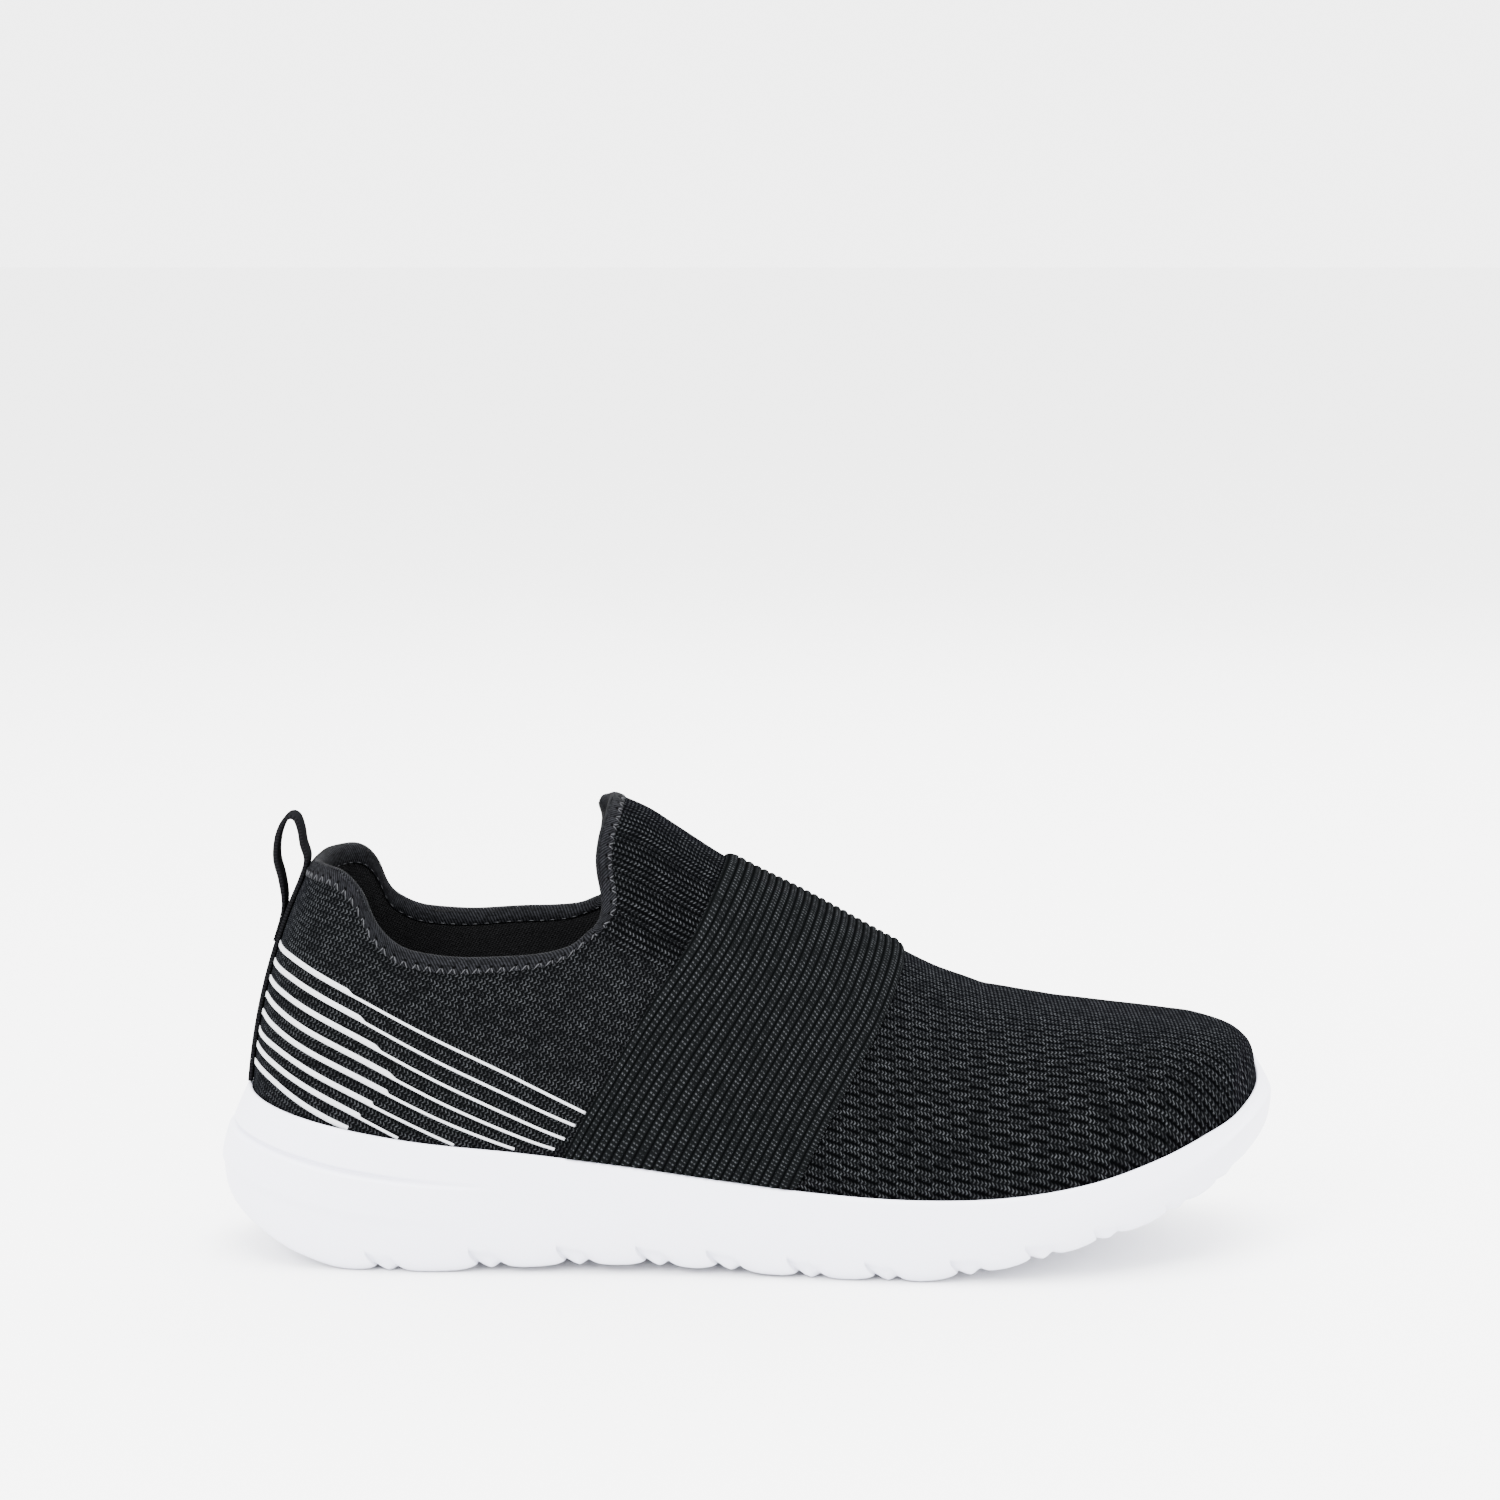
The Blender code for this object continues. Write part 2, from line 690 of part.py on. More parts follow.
def build_upper(points, normals, material):
    cells = [cell for cell in all_cells() if not is_binding(cell) and not is_seam(cell)]

    def outer(key):
        lift = FIT if key[2] == 0 else 0
        return points[key] + np.array([0, 0, lift])

    def inner(key):
        spot = points[key] - normals[key] * wall_at(key, points)
        if key[2] == 0:
            spot[2] = outer(key)[2]
        return spot

    return shell_object("upper", cells, outer, inner, material)


def build_binding(points, normals, material):
    cells = [cell for cell in all_cells() if is_binding(cell)]

    def outer(key):
        return points[key] + normals[key] * BINDING_RISE

    def inner(key):
        return points[key] - normals[key] * wall_at(key, points)

    return shell_object("collar_binding", cells, outer, inner, material)


def build_strap(points, normals, material):
    cells = [cell for cell in all_cells() if STRAP_START <= cell[1] < STRAP_END and cell[2] >= 1]

    def outer(key):
        return points[key] + normals[key] * (FIT + STRAP_THICKNESS)

    def inner(key):
        return points[key] + normals[key] * FIT

    return shell_object("instep_strap", cells, outer, inner, material)


def heel_back(across, z):
    """How far along the length the heel's outer surface stands, off its middle by across."""
    loop = np.linspace(0, 3, 61)
    spots = [last_point(loop, height_share(loop, np.full_like(loop, level))) for level in z]
    return np.array([np.interp(across, -spot[:, 1], spot[:, 0]) for spot in spots])


def build_loop(material):
    """One length of webbing: a tape up the heel, a loop over the collar, a tail sewn down."""
    out = np.array([turn.out for turn in TURNS])
    rim = float(rim_height(np.zeros(1))[0])
    z = rim + (COLLAR_HEIGHT - rim) * np.array([turn.height for turn in TURNS])
    middle = heel_back(0, z)
    curl = (heel_back(LOOP_WIDTH / 2, z) - middle) * np.clip(1 - (out - FIT) / LOOP_FREE, 0, 1)
    path = np.stack([middle - out, z], axis=1)
    run = np.gradient(path, axis=0)
    run /= np.linalg.norm(run, axis=1, keepdims=True)
    away = np.stack([-run[:, 1], run[:, 0]], axis=1) * LOOP_THICKNESS / 2
    bm = bmesh.new()
    rings = []
    for spot, side, bend in zip(path, away, curl):
        ring = []
        for face, across in ((1, -1), (1, 0), (1, 1), (-1, 1), (-1, 0), (-1, -1)):
            x = spot[0] + face * side[0] + bend * abs(across)
            ring.append(bm.verts.new((x, across * LOOP_WIDTH / 2, spot[1] + face * side[1])))
        rings.append(ring)
    for before, after in zip(rings, rings[1:]):
        for number in range(len(before)):
            following = (number + 1) % len(before)
            bm.faces.new([before[number], before[following], after[following], after[number]])
    for ring in (rings[0], rings[-1]):
        bm.faces.new([ring[0], ring[1], ring[4], ring[5]])
        bm.faces.new([ring[1], ring[2], ring[3], ring[4]])
    return add_object("heel_loop", bm, material)


def main():
    for old in list(bpy.data.objects):
        bpy.data.objects.remove(old, do_unlink=True)
    knit = make_material("knit_charcoal", (0.018, 0.020, 0.023), 0.85)
    twill = make_material("twill_charcoal", (0.026, 0.027, 0.031), 0.80)
    elastic = make_material("elastic_charcoal", (0.020, 0.023, 0.025), 0.75)
    webbing = make_material("webbing_black", (0.012, 0.012, 0.014), 0.70)
    foam = make_material("foam_white", (0.86, 0.86, 0.89), 0.45)
    lining = make_material("lining_black", (0.008, 0.008, 0.009), 0.90)
    points, normals = grid_frame()
    build_sole(foam)
    build_insole(lining)
    build_upper(points, normals, knit)
    build_binding(points, normals, twill)
    build_strap(points, normals, elastic)
    build_loop(webbing)


main()
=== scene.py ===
"""Slip-on sneaker for the right foot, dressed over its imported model: knitted upper with a
padded lining, stitched collar band, ribbed strap, webbing heel loop, heel stripes, footbed
and moulded sole, on a pale floor."""

from collections import namedtuple

import bmesh
import bpy
import numpy as np
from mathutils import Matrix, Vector


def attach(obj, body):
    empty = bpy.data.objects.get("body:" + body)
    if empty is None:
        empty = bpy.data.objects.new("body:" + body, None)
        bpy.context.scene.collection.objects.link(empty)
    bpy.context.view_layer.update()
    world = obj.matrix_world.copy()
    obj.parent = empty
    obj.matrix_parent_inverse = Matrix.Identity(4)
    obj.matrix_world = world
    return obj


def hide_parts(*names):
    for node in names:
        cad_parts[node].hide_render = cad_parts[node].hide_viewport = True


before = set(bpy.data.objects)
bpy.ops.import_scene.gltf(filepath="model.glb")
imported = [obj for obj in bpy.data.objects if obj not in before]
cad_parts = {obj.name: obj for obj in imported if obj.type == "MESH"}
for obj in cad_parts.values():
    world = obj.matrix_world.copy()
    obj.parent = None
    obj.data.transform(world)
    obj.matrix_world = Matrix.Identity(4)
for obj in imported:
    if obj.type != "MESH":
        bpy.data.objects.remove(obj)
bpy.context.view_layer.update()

bl_info = {
    "name": "Slip-on sneaker",
    "version": (1, 0, 0),
    "blender": (4, 5, 0),
    "location": "View3D > Sidebar > Sneaker",
    "description": "Knitted slip-on sneaker with a ribbed strap and a moulded sole",
    "category": "Object",
}

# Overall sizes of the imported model, in metres
LENGTH = 0.298
BALL_WIDTH = 0.108
CREST_HEIGHT = 0.1285
COLLAR_HEIGHT = 0.110
RIM_HEIGHT = 0.0455
TOE_SPRING = 0.031
FIT = 0.0003
UPPER_WALL = 0.0022
COLLAR_PAD = 0.0026
COLLAR_LIP = 0.0030
PAD_REACH = 0.034
PAD_POWER = 1.5
BINDING_WIDTH = 0.0042
MEDIAL_COLLAR_RISE = 0.0020
INSOLE_THICKNESS = 0.0040
INSOLE_EDGE_GAP = 0.0008
TREAD_INSET = 0.0045
RIM_LIP = 0.0016
PARTING_SHARE = 0.55
PARTING_FULL = 0.15
PARTING_END = 0.27
LOOP_WIDTH = 0.0110
LOOP_THICKNESS = 0.0013
LOOP_FREE = 0.0100

# The middle of the loop's webbing: distance out from the heel in metres, and height from the
# rim at 0 to the collar at 1
TURNS = (
    (0.00095, 0.010), (0.00095, 0.227), (0.00095, 0.468), (0.00095, 0.656), (0.00095, 0.794),
    (0.00100, 0.906), (0.00200, 0.991), (0.00540, 1.062), (0.00820, 1.124), (0.01110, 1.172),
    (0.01330, 1.184), (0.01420, 1.160), (0.01340, 1.093), (0.01070, 1.000), (0.00650, 0.906),
    (0.00360, 0.820), (0.00270, 0.749), (0.00260, 0.639),
)

# Sections of the sole and of the upper's lower edge, from heel to toe
Section = namedtuple(
    "Section", "along lateral medial reach ground bulge bed rim_lateral rim_medial"
)
SECTIONS = (
    Section(0.000, 0.000, 0.000, 0.0078, 0.480, 0.540, 0.670, 1.010, 1.010),
    Section(0.010, -0.153, 0.144, 0.0072, 0.400, 0.530, 0.670, 1.005, 1.005),
    Section(0.037, -0.259, 0.250, 0.0062, 0.260, 0.480, 0.670, 0.966, 0.966),
    Section(0.077, -0.338, 0.319, 0.0052, 0.100, 0.420, 0.660, 0.918, 0.918),
    Section(0.131, -0.384, 0.361, 0.0045, 0.000, 0.350, 0.650, 0.858, 0.870),
    Section(0.198, -0.406, 0.380, 0.0040, 0.000, 0.310, 0.626, 0.798, 0.823),
    Section(0.285, -0.407, 0.366, 0.0037, 0.040, 0.286, 0.582, 0.742, 0.775),
    Section(0.379, -0.412, 0.343, 0.0034, 0.065, 0.275, 0.527, 0.668, 0.714),
    Section(0.473, -0.437, 0.356, 0.0032, 0.040, 0.264, 0.462, 0.589, 0.637),
    Section(0.560, -0.477, 0.403, 0.0030, 0.000, 0.253, 0.409, 0.534, 0.573),
    Section(0.648, -0.509, 0.463, 0.0030, 0.000, 0.242, 0.374, 0.508, 0.548),
    Section(0.735, -0.509, 0.491, 0.0032, 0.116, 0.286, 0.363, 0.520, 0.580),
    Section(0.815, -0.468, 0.486, 0.0036, 0.290, 0.396, 0.407, 0.584, 0.710),
    Section(0.883, -0.384, 0.444, 0.0040, 0.461, 0.505, 0.505, 0.690, 0.900),
    Section(0.936, -0.273, 0.375, 0.0042, 0.645, 0.660, 0.637, 0.800, 1.030),
    Section(0.973, -0.144, 0.296, 0.0043, 0.839, 0.813, 0.747, 0.885, 1.085),
    Section(1.000, 0.100, 0.100, 0.0043, 1.000, 0.912, 0.813, 0.985, 0.985),
)
Form = namedtuple("Form", "crest ridge side_power top_power")
FORMS = (
    Form(0.275, 0.000, 2.00, 1.50),
    Form(0.276, 0.000, 2.05, 1.50),
    Form(0.278, 0.000, 2.20, 1.50),
    Form(0.282, 0.000, 2.40, 1.52),
    Form(0.288, 0.000, 2.60, 1.55),
    Form(0.300, 0.004, 2.70, 1.60),
    Form(0.325, 0.010, 2.50, 1.72),
    Form(0.385, 0.018, 1.95, 2.00),
    Form(0.473, 0.028, 1.62, 2.10),
    Form(0.560, 0.037, 1.66, 2.12),
    Form(0.648, 0.046, 1.90, 2.18),
    Form(0.735, 0.056, 2.20, 2.35),
    Form(0.808, 0.068, 2.55, 2.65),
    Form(0.850, 0.076, 3.00, 3.10),
    Form(0.868, 0.080, 3.60, 3.70),
    Form(0.874, 0.082, 4.30, 4.40),
    Form(0.876, 0.085, 4.70, 4.70),
)
CRESTS = (
    (0.000, 1.284), (0.130, 1.276), (0.230, 1.206), (0.300, 1.105), (0.369, 1.000),
    (0.405, 0.961), (0.430, 0.923), (0.477, 0.852), (0.558, 0.753), (0.640, 0.646),
    (0.685, 0.594), (0.743, 0.552), (0.816, 0.521), (0.889, 0.497), (0.943, 0.483),
    (1.000, 0.472),
)
Rib = namedtuple("Rib", "foot middle top height ribs")
RIBS = (
    Rib(0.000, 0.000, 0.000, 0.995, 2),
    Rib(0.018, 0.018, 0.018, 1.001, 2),
    Rib(0.060, 0.060, 0.060, 0.998, 3),
    Rib(0.103, 0.105, 0.105, 0.955, 3),
    Rib(0.132, 0.139, 0.139, 0.862, 2),
    Rib(0.160, 0.176, 0.176, 0.806, 2),
    Rib(0.190, 0.232, 0.232, 0.789, 3),
    Rib(0.218, 0.292, 0.292, 0.794, 2),
    Rib(0.242, 0.330, 0.330, 0.814, 3),
    Rib(0.262, 0.353, 0.362, 0.860, 1),
    Rib(0.278, 0.365, 0.376, 0.868, 1),
    Rib(0.279, 0.366, 0.377, 0.868, 3),
    Rib(0.316, 0.441, 0.477, 0.800, 4),
    Rib(0.425, 0.534, 0.562, 0.715, 4),
    Rib(0.532, 0.621, 0.646, 0.610, 4),
    Rib(0.668, 0.713, 0.736, 0.540, 4),
    Rib(0.792, 0.801, 0.808, 0.500, 3),
    Rib(0.884, 0.884, 0.884, 0.480, 3),
    Rib(0.945, 0.945, 0.945, 0.460, 4),
    Rib(1.000, 1.000, 1.000, 0.440, 0),
)
TONGUE_ROW = 9
SEAM_ROW = 10
STRAP_START_ROW = 12
STRAP_END_ROW = 14
TONGUE_EDGE = (0.000, 0.0075, 0.0050, -0.0015, -0.0045, -0.0040, -0.0010, 0.000)
LUG_STEPS = (0.151, 0.248, 0.329, 0.402, 0.467, 0.541, 0.612, 0.690, 0.759, 0.822, 0.891, 0.942)

# Heel stripes from the heel forward: each as section places and heights in metres
STRIPES = (
    ((0.26, 0.0860), (1.33, 0.0860), (2.40, 0.0839), (3.47, 0.0794), (4.54, 0.0714),
     (5.61, 0.0596), (6.68, 0.0450)),
    ((0.28, 0.0810), (1.33, 0.0812), (2.38, 0.0790), (3.43, 0.0744), (4.48, 0.0665),
     (5.53, 0.0548), (6.58, 0.0415)),
    ((0.34, 0.0762), (1.36, 0.0764), (2.39, 0.0737), (3.41, 0.0692), (4.43, 0.0615),
     (5.46, 0.0502), (6.48, 0.0378)),
    ((0.34, 0.0712), (1.35, 0.0718), (2.35, 0.0687), (3.36, 0.0640), (4.37, 0.0567),
     (5.37, 0.0460), (6.38, 0.0350)),
    ((0.36, 0.0665), (1.30, 0.0669), (2.23, 0.0640), (3.17, 0.0597), (4.11, 0.0536),
     (5.04, 0.0448), (5.98, 0.0350)),
    ((0.40, 0.0620), (1.23, 0.0616), (2.05, 0.0597), (2.88, 0.0562), (3.71, 0.0512),
     (4.53, 0.0446), (5.36, 0.0361)),
    ((0.40, 0.0575), (1.11, 0.0577), (1.83, 0.0559), (2.54, 0.0530), (3.25, 0.0492),
     (3.97, 0.0442), (4.68, 0.0378)),
    ((0.38, 0.0525), (0.97, 0.0532), (1.55, 0.0523), (2.14, 0.0501), (2.73, 0.0471),
     (3.31, 0.0435), (3.90, 0.0396)),
)
# Where each stripe's broad end steps down to a line, and half the step's own length, both as
# shares of the stripe; the lowest one stays broad
STRIPE_STEPS = (
    (0.555, 0.009), (0.603, 0.009), (0.655, 0.009), (0.702, 0.010), (0.740, 0.002),
    (0.786, 0.002), (0.864, 0.003), (2.000, 0.002),
)

LAST_SECTION = len(SECTIONS) - 1
LATERAL = -1
MEDIAL = 1
ON_SKIN = 1e-5


# Smooth runs through the tables

def smooth_run(values, at):
    """The run through evenly numbered values that close on themselves, at each place."""
    values = np.asarray(values, float)
    count = len(values)
    start = np.floor(at).astype(int)
    share = at - start
    before, first, second, after = (values[(start + step) % count] for step in (-1, 0, 1, 2))
    return 0.5 * (
        2 * first
        + (second - before) * share
        + (2 * before - 5 * first + 4 * second - after) * share**2
        + (3 * first - before - 3 * second + after) * share**3
    )


def level_run(places, values, at):
    """The run through values at rising places that never swings beyond its neighbours."""
    places = np.asarray(places, float)
    values = np.asarray(values, float)
    steps = np.diff(places)
    climbs = np.diff(values) / steps
    before, after = climbs[:-1], climbs[1:]
    same_way = before * after > 0
    total = np.where(same_way, before + after, 1.0)
    inner = np.where(same_way, 2 * before * after / total, 0.0)
    slopes = np.concatenate([climbs[:1], inner, climbs[-1:]])
    at = np.clip(at, places[0], places[-1])
    start = np.clip(np.searchsorted(places, at, side="right") - 1, 0, len(steps) - 1)
    step = steps[start]
    share = (at - places[start]) / step
    return (
        values[start] * (1 + 2 * share) * (1 - share) ** 2
        + slopes[start] * step * share * (1 - share) ** 2
        + values[start + 1] * share**2 * (3 - 2 * share)
        + slopes[start + 1] * step * share**2 * (share - 1)
    )


def soft_step(low, high, at):
    share = np.clip((at - low) / (high - low), 0, 1)
    return share * share * (3 - 2 * share)


def around(side, place):
    return place if side == LATERAL else 2 * LAST_SECTION - place


def loop_column(lateral, medial):
    return list(lateral) + list(medial)[-2:0:-1]


def shared_value(table, name, loop):
    values = [getattr(row, name) for row in table]
    return smooth_run(loop_column(values, values), loop)


def outline(loop):
    """The sole's widest outline, seen from above."""
    along = shared_value(SECTIONS, "along", loop)
    across = smooth_run(
        loop_column([row.lateral for row in SECTIONS], [row.medial for row in SECTIONS]), loop
    )
    return np.stack([(along - 0.5) * LENGTH, across * BALL_WIDTH], axis=-1)


def outline_inward(loop):
    nudge = 1e-3
    run = outline(loop + nudge) - outline(loop - nudge)
    inward = np.stack([-run[..., 1], run[..., 0]], axis=-1)
    return inward / np.linalg.norm(inward, axis=-1, keepdims=True)


def inset(loop, distance):
    return outline(loop) + outline_inward(loop) * np.asarray(distance)[..., None]


def place_at(along):
    places = np.linspace(0, LAST_SECTION, 40 * LAST_SECTION + 1)
    return np.interp(along, shared_value(SECTIONS, "along", places), places)


def ground_height(loop):
    place = np.minimum(loop, 2 * LAST_SECTION - loop)
    rows = np.arange(LAST_SECTION + 1)
    return TOE_SPRING * level_run(rows, [row.ground for row in SECTIONS], place)


def bed_height(loop):
    return RIM_HEIGHT * shared_value(SECTIONS, "bed", loop)


def rim_height(loop):
    rims = loop_column([row.rim_lateral for row in SECTIONS], [row.rim_medial for row in SECTIONS])
    return RIM_HEIGHT * smooth_run(rims, loop)


def crest_height(x):
    along, height = zip(*CRESTS)
    return CREST_HEIGHT * level_run(along, height, x / LENGTH + 0.5)


def last_point(loop, height):
    """The upper's outer surface: a rib from the bed at height 0 to the crest line at 1."""
    foot = inset(loop, shared_value(SECTIONS, "reach", loop))
    crest = np.stack(
        [
            (shared_value(FORMS, "crest", loop) - 0.5) * LENGTH,
            shared_value(FORMS, "ridge", loop) * BALL_WIDTH,
        ],
        axis=-1,
    )
    filled = 1 - np.clip(height, 0, 1) ** shared_value(FORMS, "side_power", loop)
    spread = filled ** (1 / shared_value(FORMS, "top_power", loop))
    across = crest + (foot - crest) * spread[..., None]
    bed = bed_height(loop)
    z = bed + (crest_height(across[..., 0]) - bed) * height
    return np.concatenate([across, z[..., None]], axis=-1)


def height_share(loop, z):
    """The height along a rib at which the upper's surface reaches this z."""
    low = np.zeros(np.broadcast(loop, z).shape)
    high = low + 1
    for _ in range(30):
        middle = (low + high) / 2
        below = last_point(loop, middle)[..., 2] < z
        low = np.where(below, middle, low)
        high = np.where(below, high, middle)
    return (low + high) / 2


# The upper's own coordinates: a rib number, and a level that is 0 at the rim, 1 at the
# collar's height and 2 at the crest

NUMBERS = np.concatenate([[0], np.cumsum([row.ribs for row in RIBS[:-1]])])
LAST_RIB = int(NUMBERS[-1])
TONGUE_RIB = int(NUMBERS[TONGUE_ROW])
SEAM_RIB = int(NUMBERS[SEAM_ROW])
STRAP_START = int(NUMBERS[STRAP_START_ROW])
STRAP_END = int(NUMBERS[STRAP_END_ROW])


def rib_value(name, rib):
    return level_run(NUMBERS, [getattr(row, name) for row in RIBS], rib)


def collar_z(side, rib):
    swell = np.sin(np.pi * np.clip(rib / TONGUE_RIB, 0, 1)) * (side == MEDIAL)
    rise = 0.0024 * np.exp(-(((rib - 17) / 3.5) ** 2)) - 0.0028 * np.exp(-(((rib - 9) / 2.2) ** 2))
    shape = MEDIAL_COLLAR_RISE * swell + rise * (side == MEDIAL)
    return COLLAR_HEIGHT * rib_value("height", rib) + shape


def upper_places(side, rib, level):
    """The section place and the height along its rib of a spot on the upper."""
    foot_place = around(side, place_at(rib_value("foot", rib)))
    middle_place = around(side, place_at(rib_value("middle", rib)))
    edge = height_share(middle_place, collar_z(side, rib))
    rim = height_share(foot_place, rim_height(foot_place) + FIT)
    share = np.where(level < 0, rim * (1 + level), rim + (edge - rim) * level)
    share = np.where(level > 1, edge + (1 - edge) * (level - 1), share)
    foot, middle, top = (rib_value(name, rib) for name in ("foot", "middle", "top"))
    fade = np.clip(1 - (rib - SEAM_RIB - 1) / (STRAP_START - SEAM_RIB), 0, 1)
    step = np.clip(level - 1, 0, 1)
    bow = level_run(range(len(TONGUE_EDGE)), TONGUE_EDGE, step * (len(TONGUE_EDGE) - 1))
    roll = -0.011 * (side == MEDIAL) * np.exp(-(((step - 0.87) / 0.07) ** 2))
    above = middle + (top - middle) * step + (bow + roll) * fade
    below = foot + (middle - foot) * share / edge
    return around(side, place_at(np.where(level > 1, above, below))), share


def upper_point(side, rib, level):
    rib, level = np.broadcast_arrays(np.asarray(rib, float), np.asarray(level, float))
    loop, share = upper_places(side, rib, level)
    return last_point(loop, share)


# Meshes

def grid_mesh(points, uvs=None, walls=None):
    """A grid of faces over points[row, column], with its UV map from uvs and the wall that
    it will be given at each vertex from walls."""
    rows, columns = points.shape[:2]
    bm = bmesh.new()
    wall = bm.verts.layers.float.new("wall")
    bmesh.ops.create_grid(bm, x_segments=columns - 1, y_segments=rows - 1, size=1)
    spots = {}
    for vert in bm.verts:
        column = round((vert.co.x + 1) / 2 * (columns - 1))
        row = round((vert.co.y + 1) / 2 * (rows - 1))
        spots[vert] = (row, column)
    for vert, (row, column) in spots.items():
        vert.co = points[row, column]
        vert[wall] = 0 if walls is None else walls[row, column]
    if uvs is not None:
        layer = bm.loops.layers.uv.new("knit")
        for face in bm.faces:
            for corner in face.loops:
                corner[layer].uv = uvs[spots[corner.vert]]
    return bm, spots


def face_out(bm, centre):
    """Turns every face of a sheet so that it looks away from centre."""
    total = 0.0
    centre = Vector(centre)
    bm.normal_update()
    for face in bm.faces:
        total += face.normal.dot(face.calc_center_median() - centre) * face.calc_area()
    if total < 0:
        bmesh.ops.reverse_faces(bm, faces=bm.faces)
    bm.normal_update()


def add_piece(name, bm, material, slot, *nodes):
    """Makes the mesh an object that rides on the shoe and stands for its nodes."""
    mesh = bpy.data.meshes.new(name)
    for face in bm.faces:
        face.smooth = True
    bm.to_mesh(mesh)
    bm.free()
    piece = bpy.data.objects.new(name, mesh)
    piece.data.materials.append(material)
    bpy.context.scene.collection.objects.link(piece)
    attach(piece, "root")
    for node in nodes:
        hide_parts(node)
    return piece


def thicken(piece, thickness, offset):
    wall = piece.modifiers.new("wall", "SOLIDIFY")
    wall.thickness = thickness
    wall.offset = offset
    wall.use_even_offset = False
    wall.use_rim = True
    return wall


def rounded(values, reach):
    """Values that close on themselves, evened out over a reach of samples."""
    steps = np.arange(-3 * reach, 3 * reach + 1)
    weights = np.exp(-0.5 * (steps / reach) ** 2)
    weights /= weights.sum()
    return sum(weight * np.roll(values, step, axis=0) for step, weight in zip(steps, weights))


def even_samples(run, count, *others):
    """The closed runs resampled so that the first one's samples are evenly spaced."""
    closed = np.concatenate([run, run[:1]])
    length = np.concatenate([[0], np.cumsum(np.linalg.norm(np.diff(closed, axis=0), axis=1))])
    at = np.linspace(0, length[-1], count, endpoint=False)
    resampled = []
    for values in (run, *others):
        ring = np.concatenate([values, values[:1]])
        resampled.append(np.stack([np.interp(at, length, ring[:, k]) for k in range(3)], axis=1))
    return length[-1], resampled


def unit(vectors):
    return vectors / np.linalg.norm(vectors, axis=-1, keepdims=True)


# Materials

class Pattern:
    """A material's node tree, built up one node at a time."""

    def __init__(self, name, colour, roughness, gloss=0.5):
        self.material = bpy.data.materials.new(name)
        self.material.use_nodes = True
        self.tree = self.material.node_tree
        self.shader = self.tree.nodes["Principled BSDF"]
        self.shader.inputs["Base Color"].default_value = (*colour, 1)
        self.shader.inputs["Roughness"].default_value = roughness
        self.shader.inputs["Specular IOR Level"].default_value = gloss

    def feed(self, socket, value):
        if isinstance(value, bpy.types.NodeSocket):
            self.tree.links.new(value, socket)
        else:
            socket.default_value = value

    def node(self, kind, **settings):
        made = self.tree.nodes.new(kind)
        for name, value in settings.items():
            setattr(made, name, value)
        return made

    def math(self, operation, *values):
        made = self.node("ShaderNodeMath", operation=operation)
        for socket, value in zip(made.inputs, values):
            self.feed(socket, value)
        return made.outputs[0]

    def step(self, low, high, value):
        made = self.node("ShaderNodeMapRange", interpolation_type="SMOOTHSTEP")
        self.feed(made.inputs["Value"], value)
        made.inputs["From Min"].default_value = low
        made.inputs["From Max"].default_value = high
        return made.outputs["Result"]

    def surface(self, scale=1000.0):
        """The piece's own UV map in millimetres, as two values."""
        source = self.node("ShaderNodeUVMap", uv_map="knit")
        parts = self.node("ShaderNodeSeparateXYZ")
        self.tree.links.new(source.outputs["UV"], parts.inputs[0])
        return [self.math("MULTIPLY", parts.outputs[k], scale) for k in (0, 1)]

    def object_place(self):
        source = self.node("ShaderNodeTexCoord")
        return source.outputs["Object"]

    def noise(self, place, scale, detail=2.0):
        made = self.node("ShaderNodeTexNoise")
        made.inputs["Scale"].default_value = scale
        made.inputs["Detail"].default_value = detail
        if place is not None:
            self.tree.links.new(place, made.inputs["Vector"])
        return made.outputs["Fac"]

    def chance(self, first, second):
        joined = self.node("ShaderNodeCombineXYZ")
        self.feed(joined.inputs[0], first)
        self.feed(joined.inputs[1], second)
        made = self.node("ShaderNodeTexWhiteNoise", noise_dimensions="2D")
        self.tree.links.new(joined.outputs[0], made.inputs["Vector"])
        return made.outputs["Value"]

    def mix(self, share, first, second):
        made = self.node("ShaderNodeMix", data_type="RGBA")
        self.feed(made.inputs["Factor"], share)
        colours = [socket for socket in made.inputs if socket.type == "RGBA"]
        for socket, value in zip(colours, (first, second)):
            if isinstance(value, bpy.types.NodeSocket):
                self.tree.links.new(value, socket)
            else:
                socket.default_value = (*value, 1)
        return [socket for socket in made.outputs if socket.type == "RGBA"][0]

    def bump(self, height, distance, strength=1.0):
        made = self.node("ShaderNodeBump")
        made.inputs["Strength"].default_value = strength
        made.inputs["Distance"].default_value = distance
        self.tree.links.new(height, made.inputs["Height"])
        self.tree.links.new(made.outputs["Normal"], self.shader.inputs["Normal"])

    def colour(self, value):
        self.tree.links.new(value, self.shader.inputs["Base Color"])

    def chevrons(self, along, across, wale, stitch, slant=0.5):
        """Rows of V stitches: their relief, their valleys and a chance value for each."""
        lane = self.math("DIVIDE", across, wale)
        off = self.math("ABSOLUTE", self.math("SUBTRACT", self.math("FRACT", lane), 0.5))
        off = self.math("MULTIPLY", off, 2.0)
        turn = self.math("ADD", self.math("DIVIDE", along, stitch), self.math("MULTIPLY", off, slant))
        wave = self.math("COSINE", self.math("MULTIPLY", turn, 2 * np.pi))
        yarn_glint = self.math("MULTIPLY_ADD", wave, 0.5, 0.5)
        valley = self.step(0.62, 1.0, off)
        side = self.math("FLOOR", self.math("MULTIPLY", lane, 2.0))
        luck = self.chance(side, self.math("FLOOR", turn))
        return yarn_glint, valley, luck


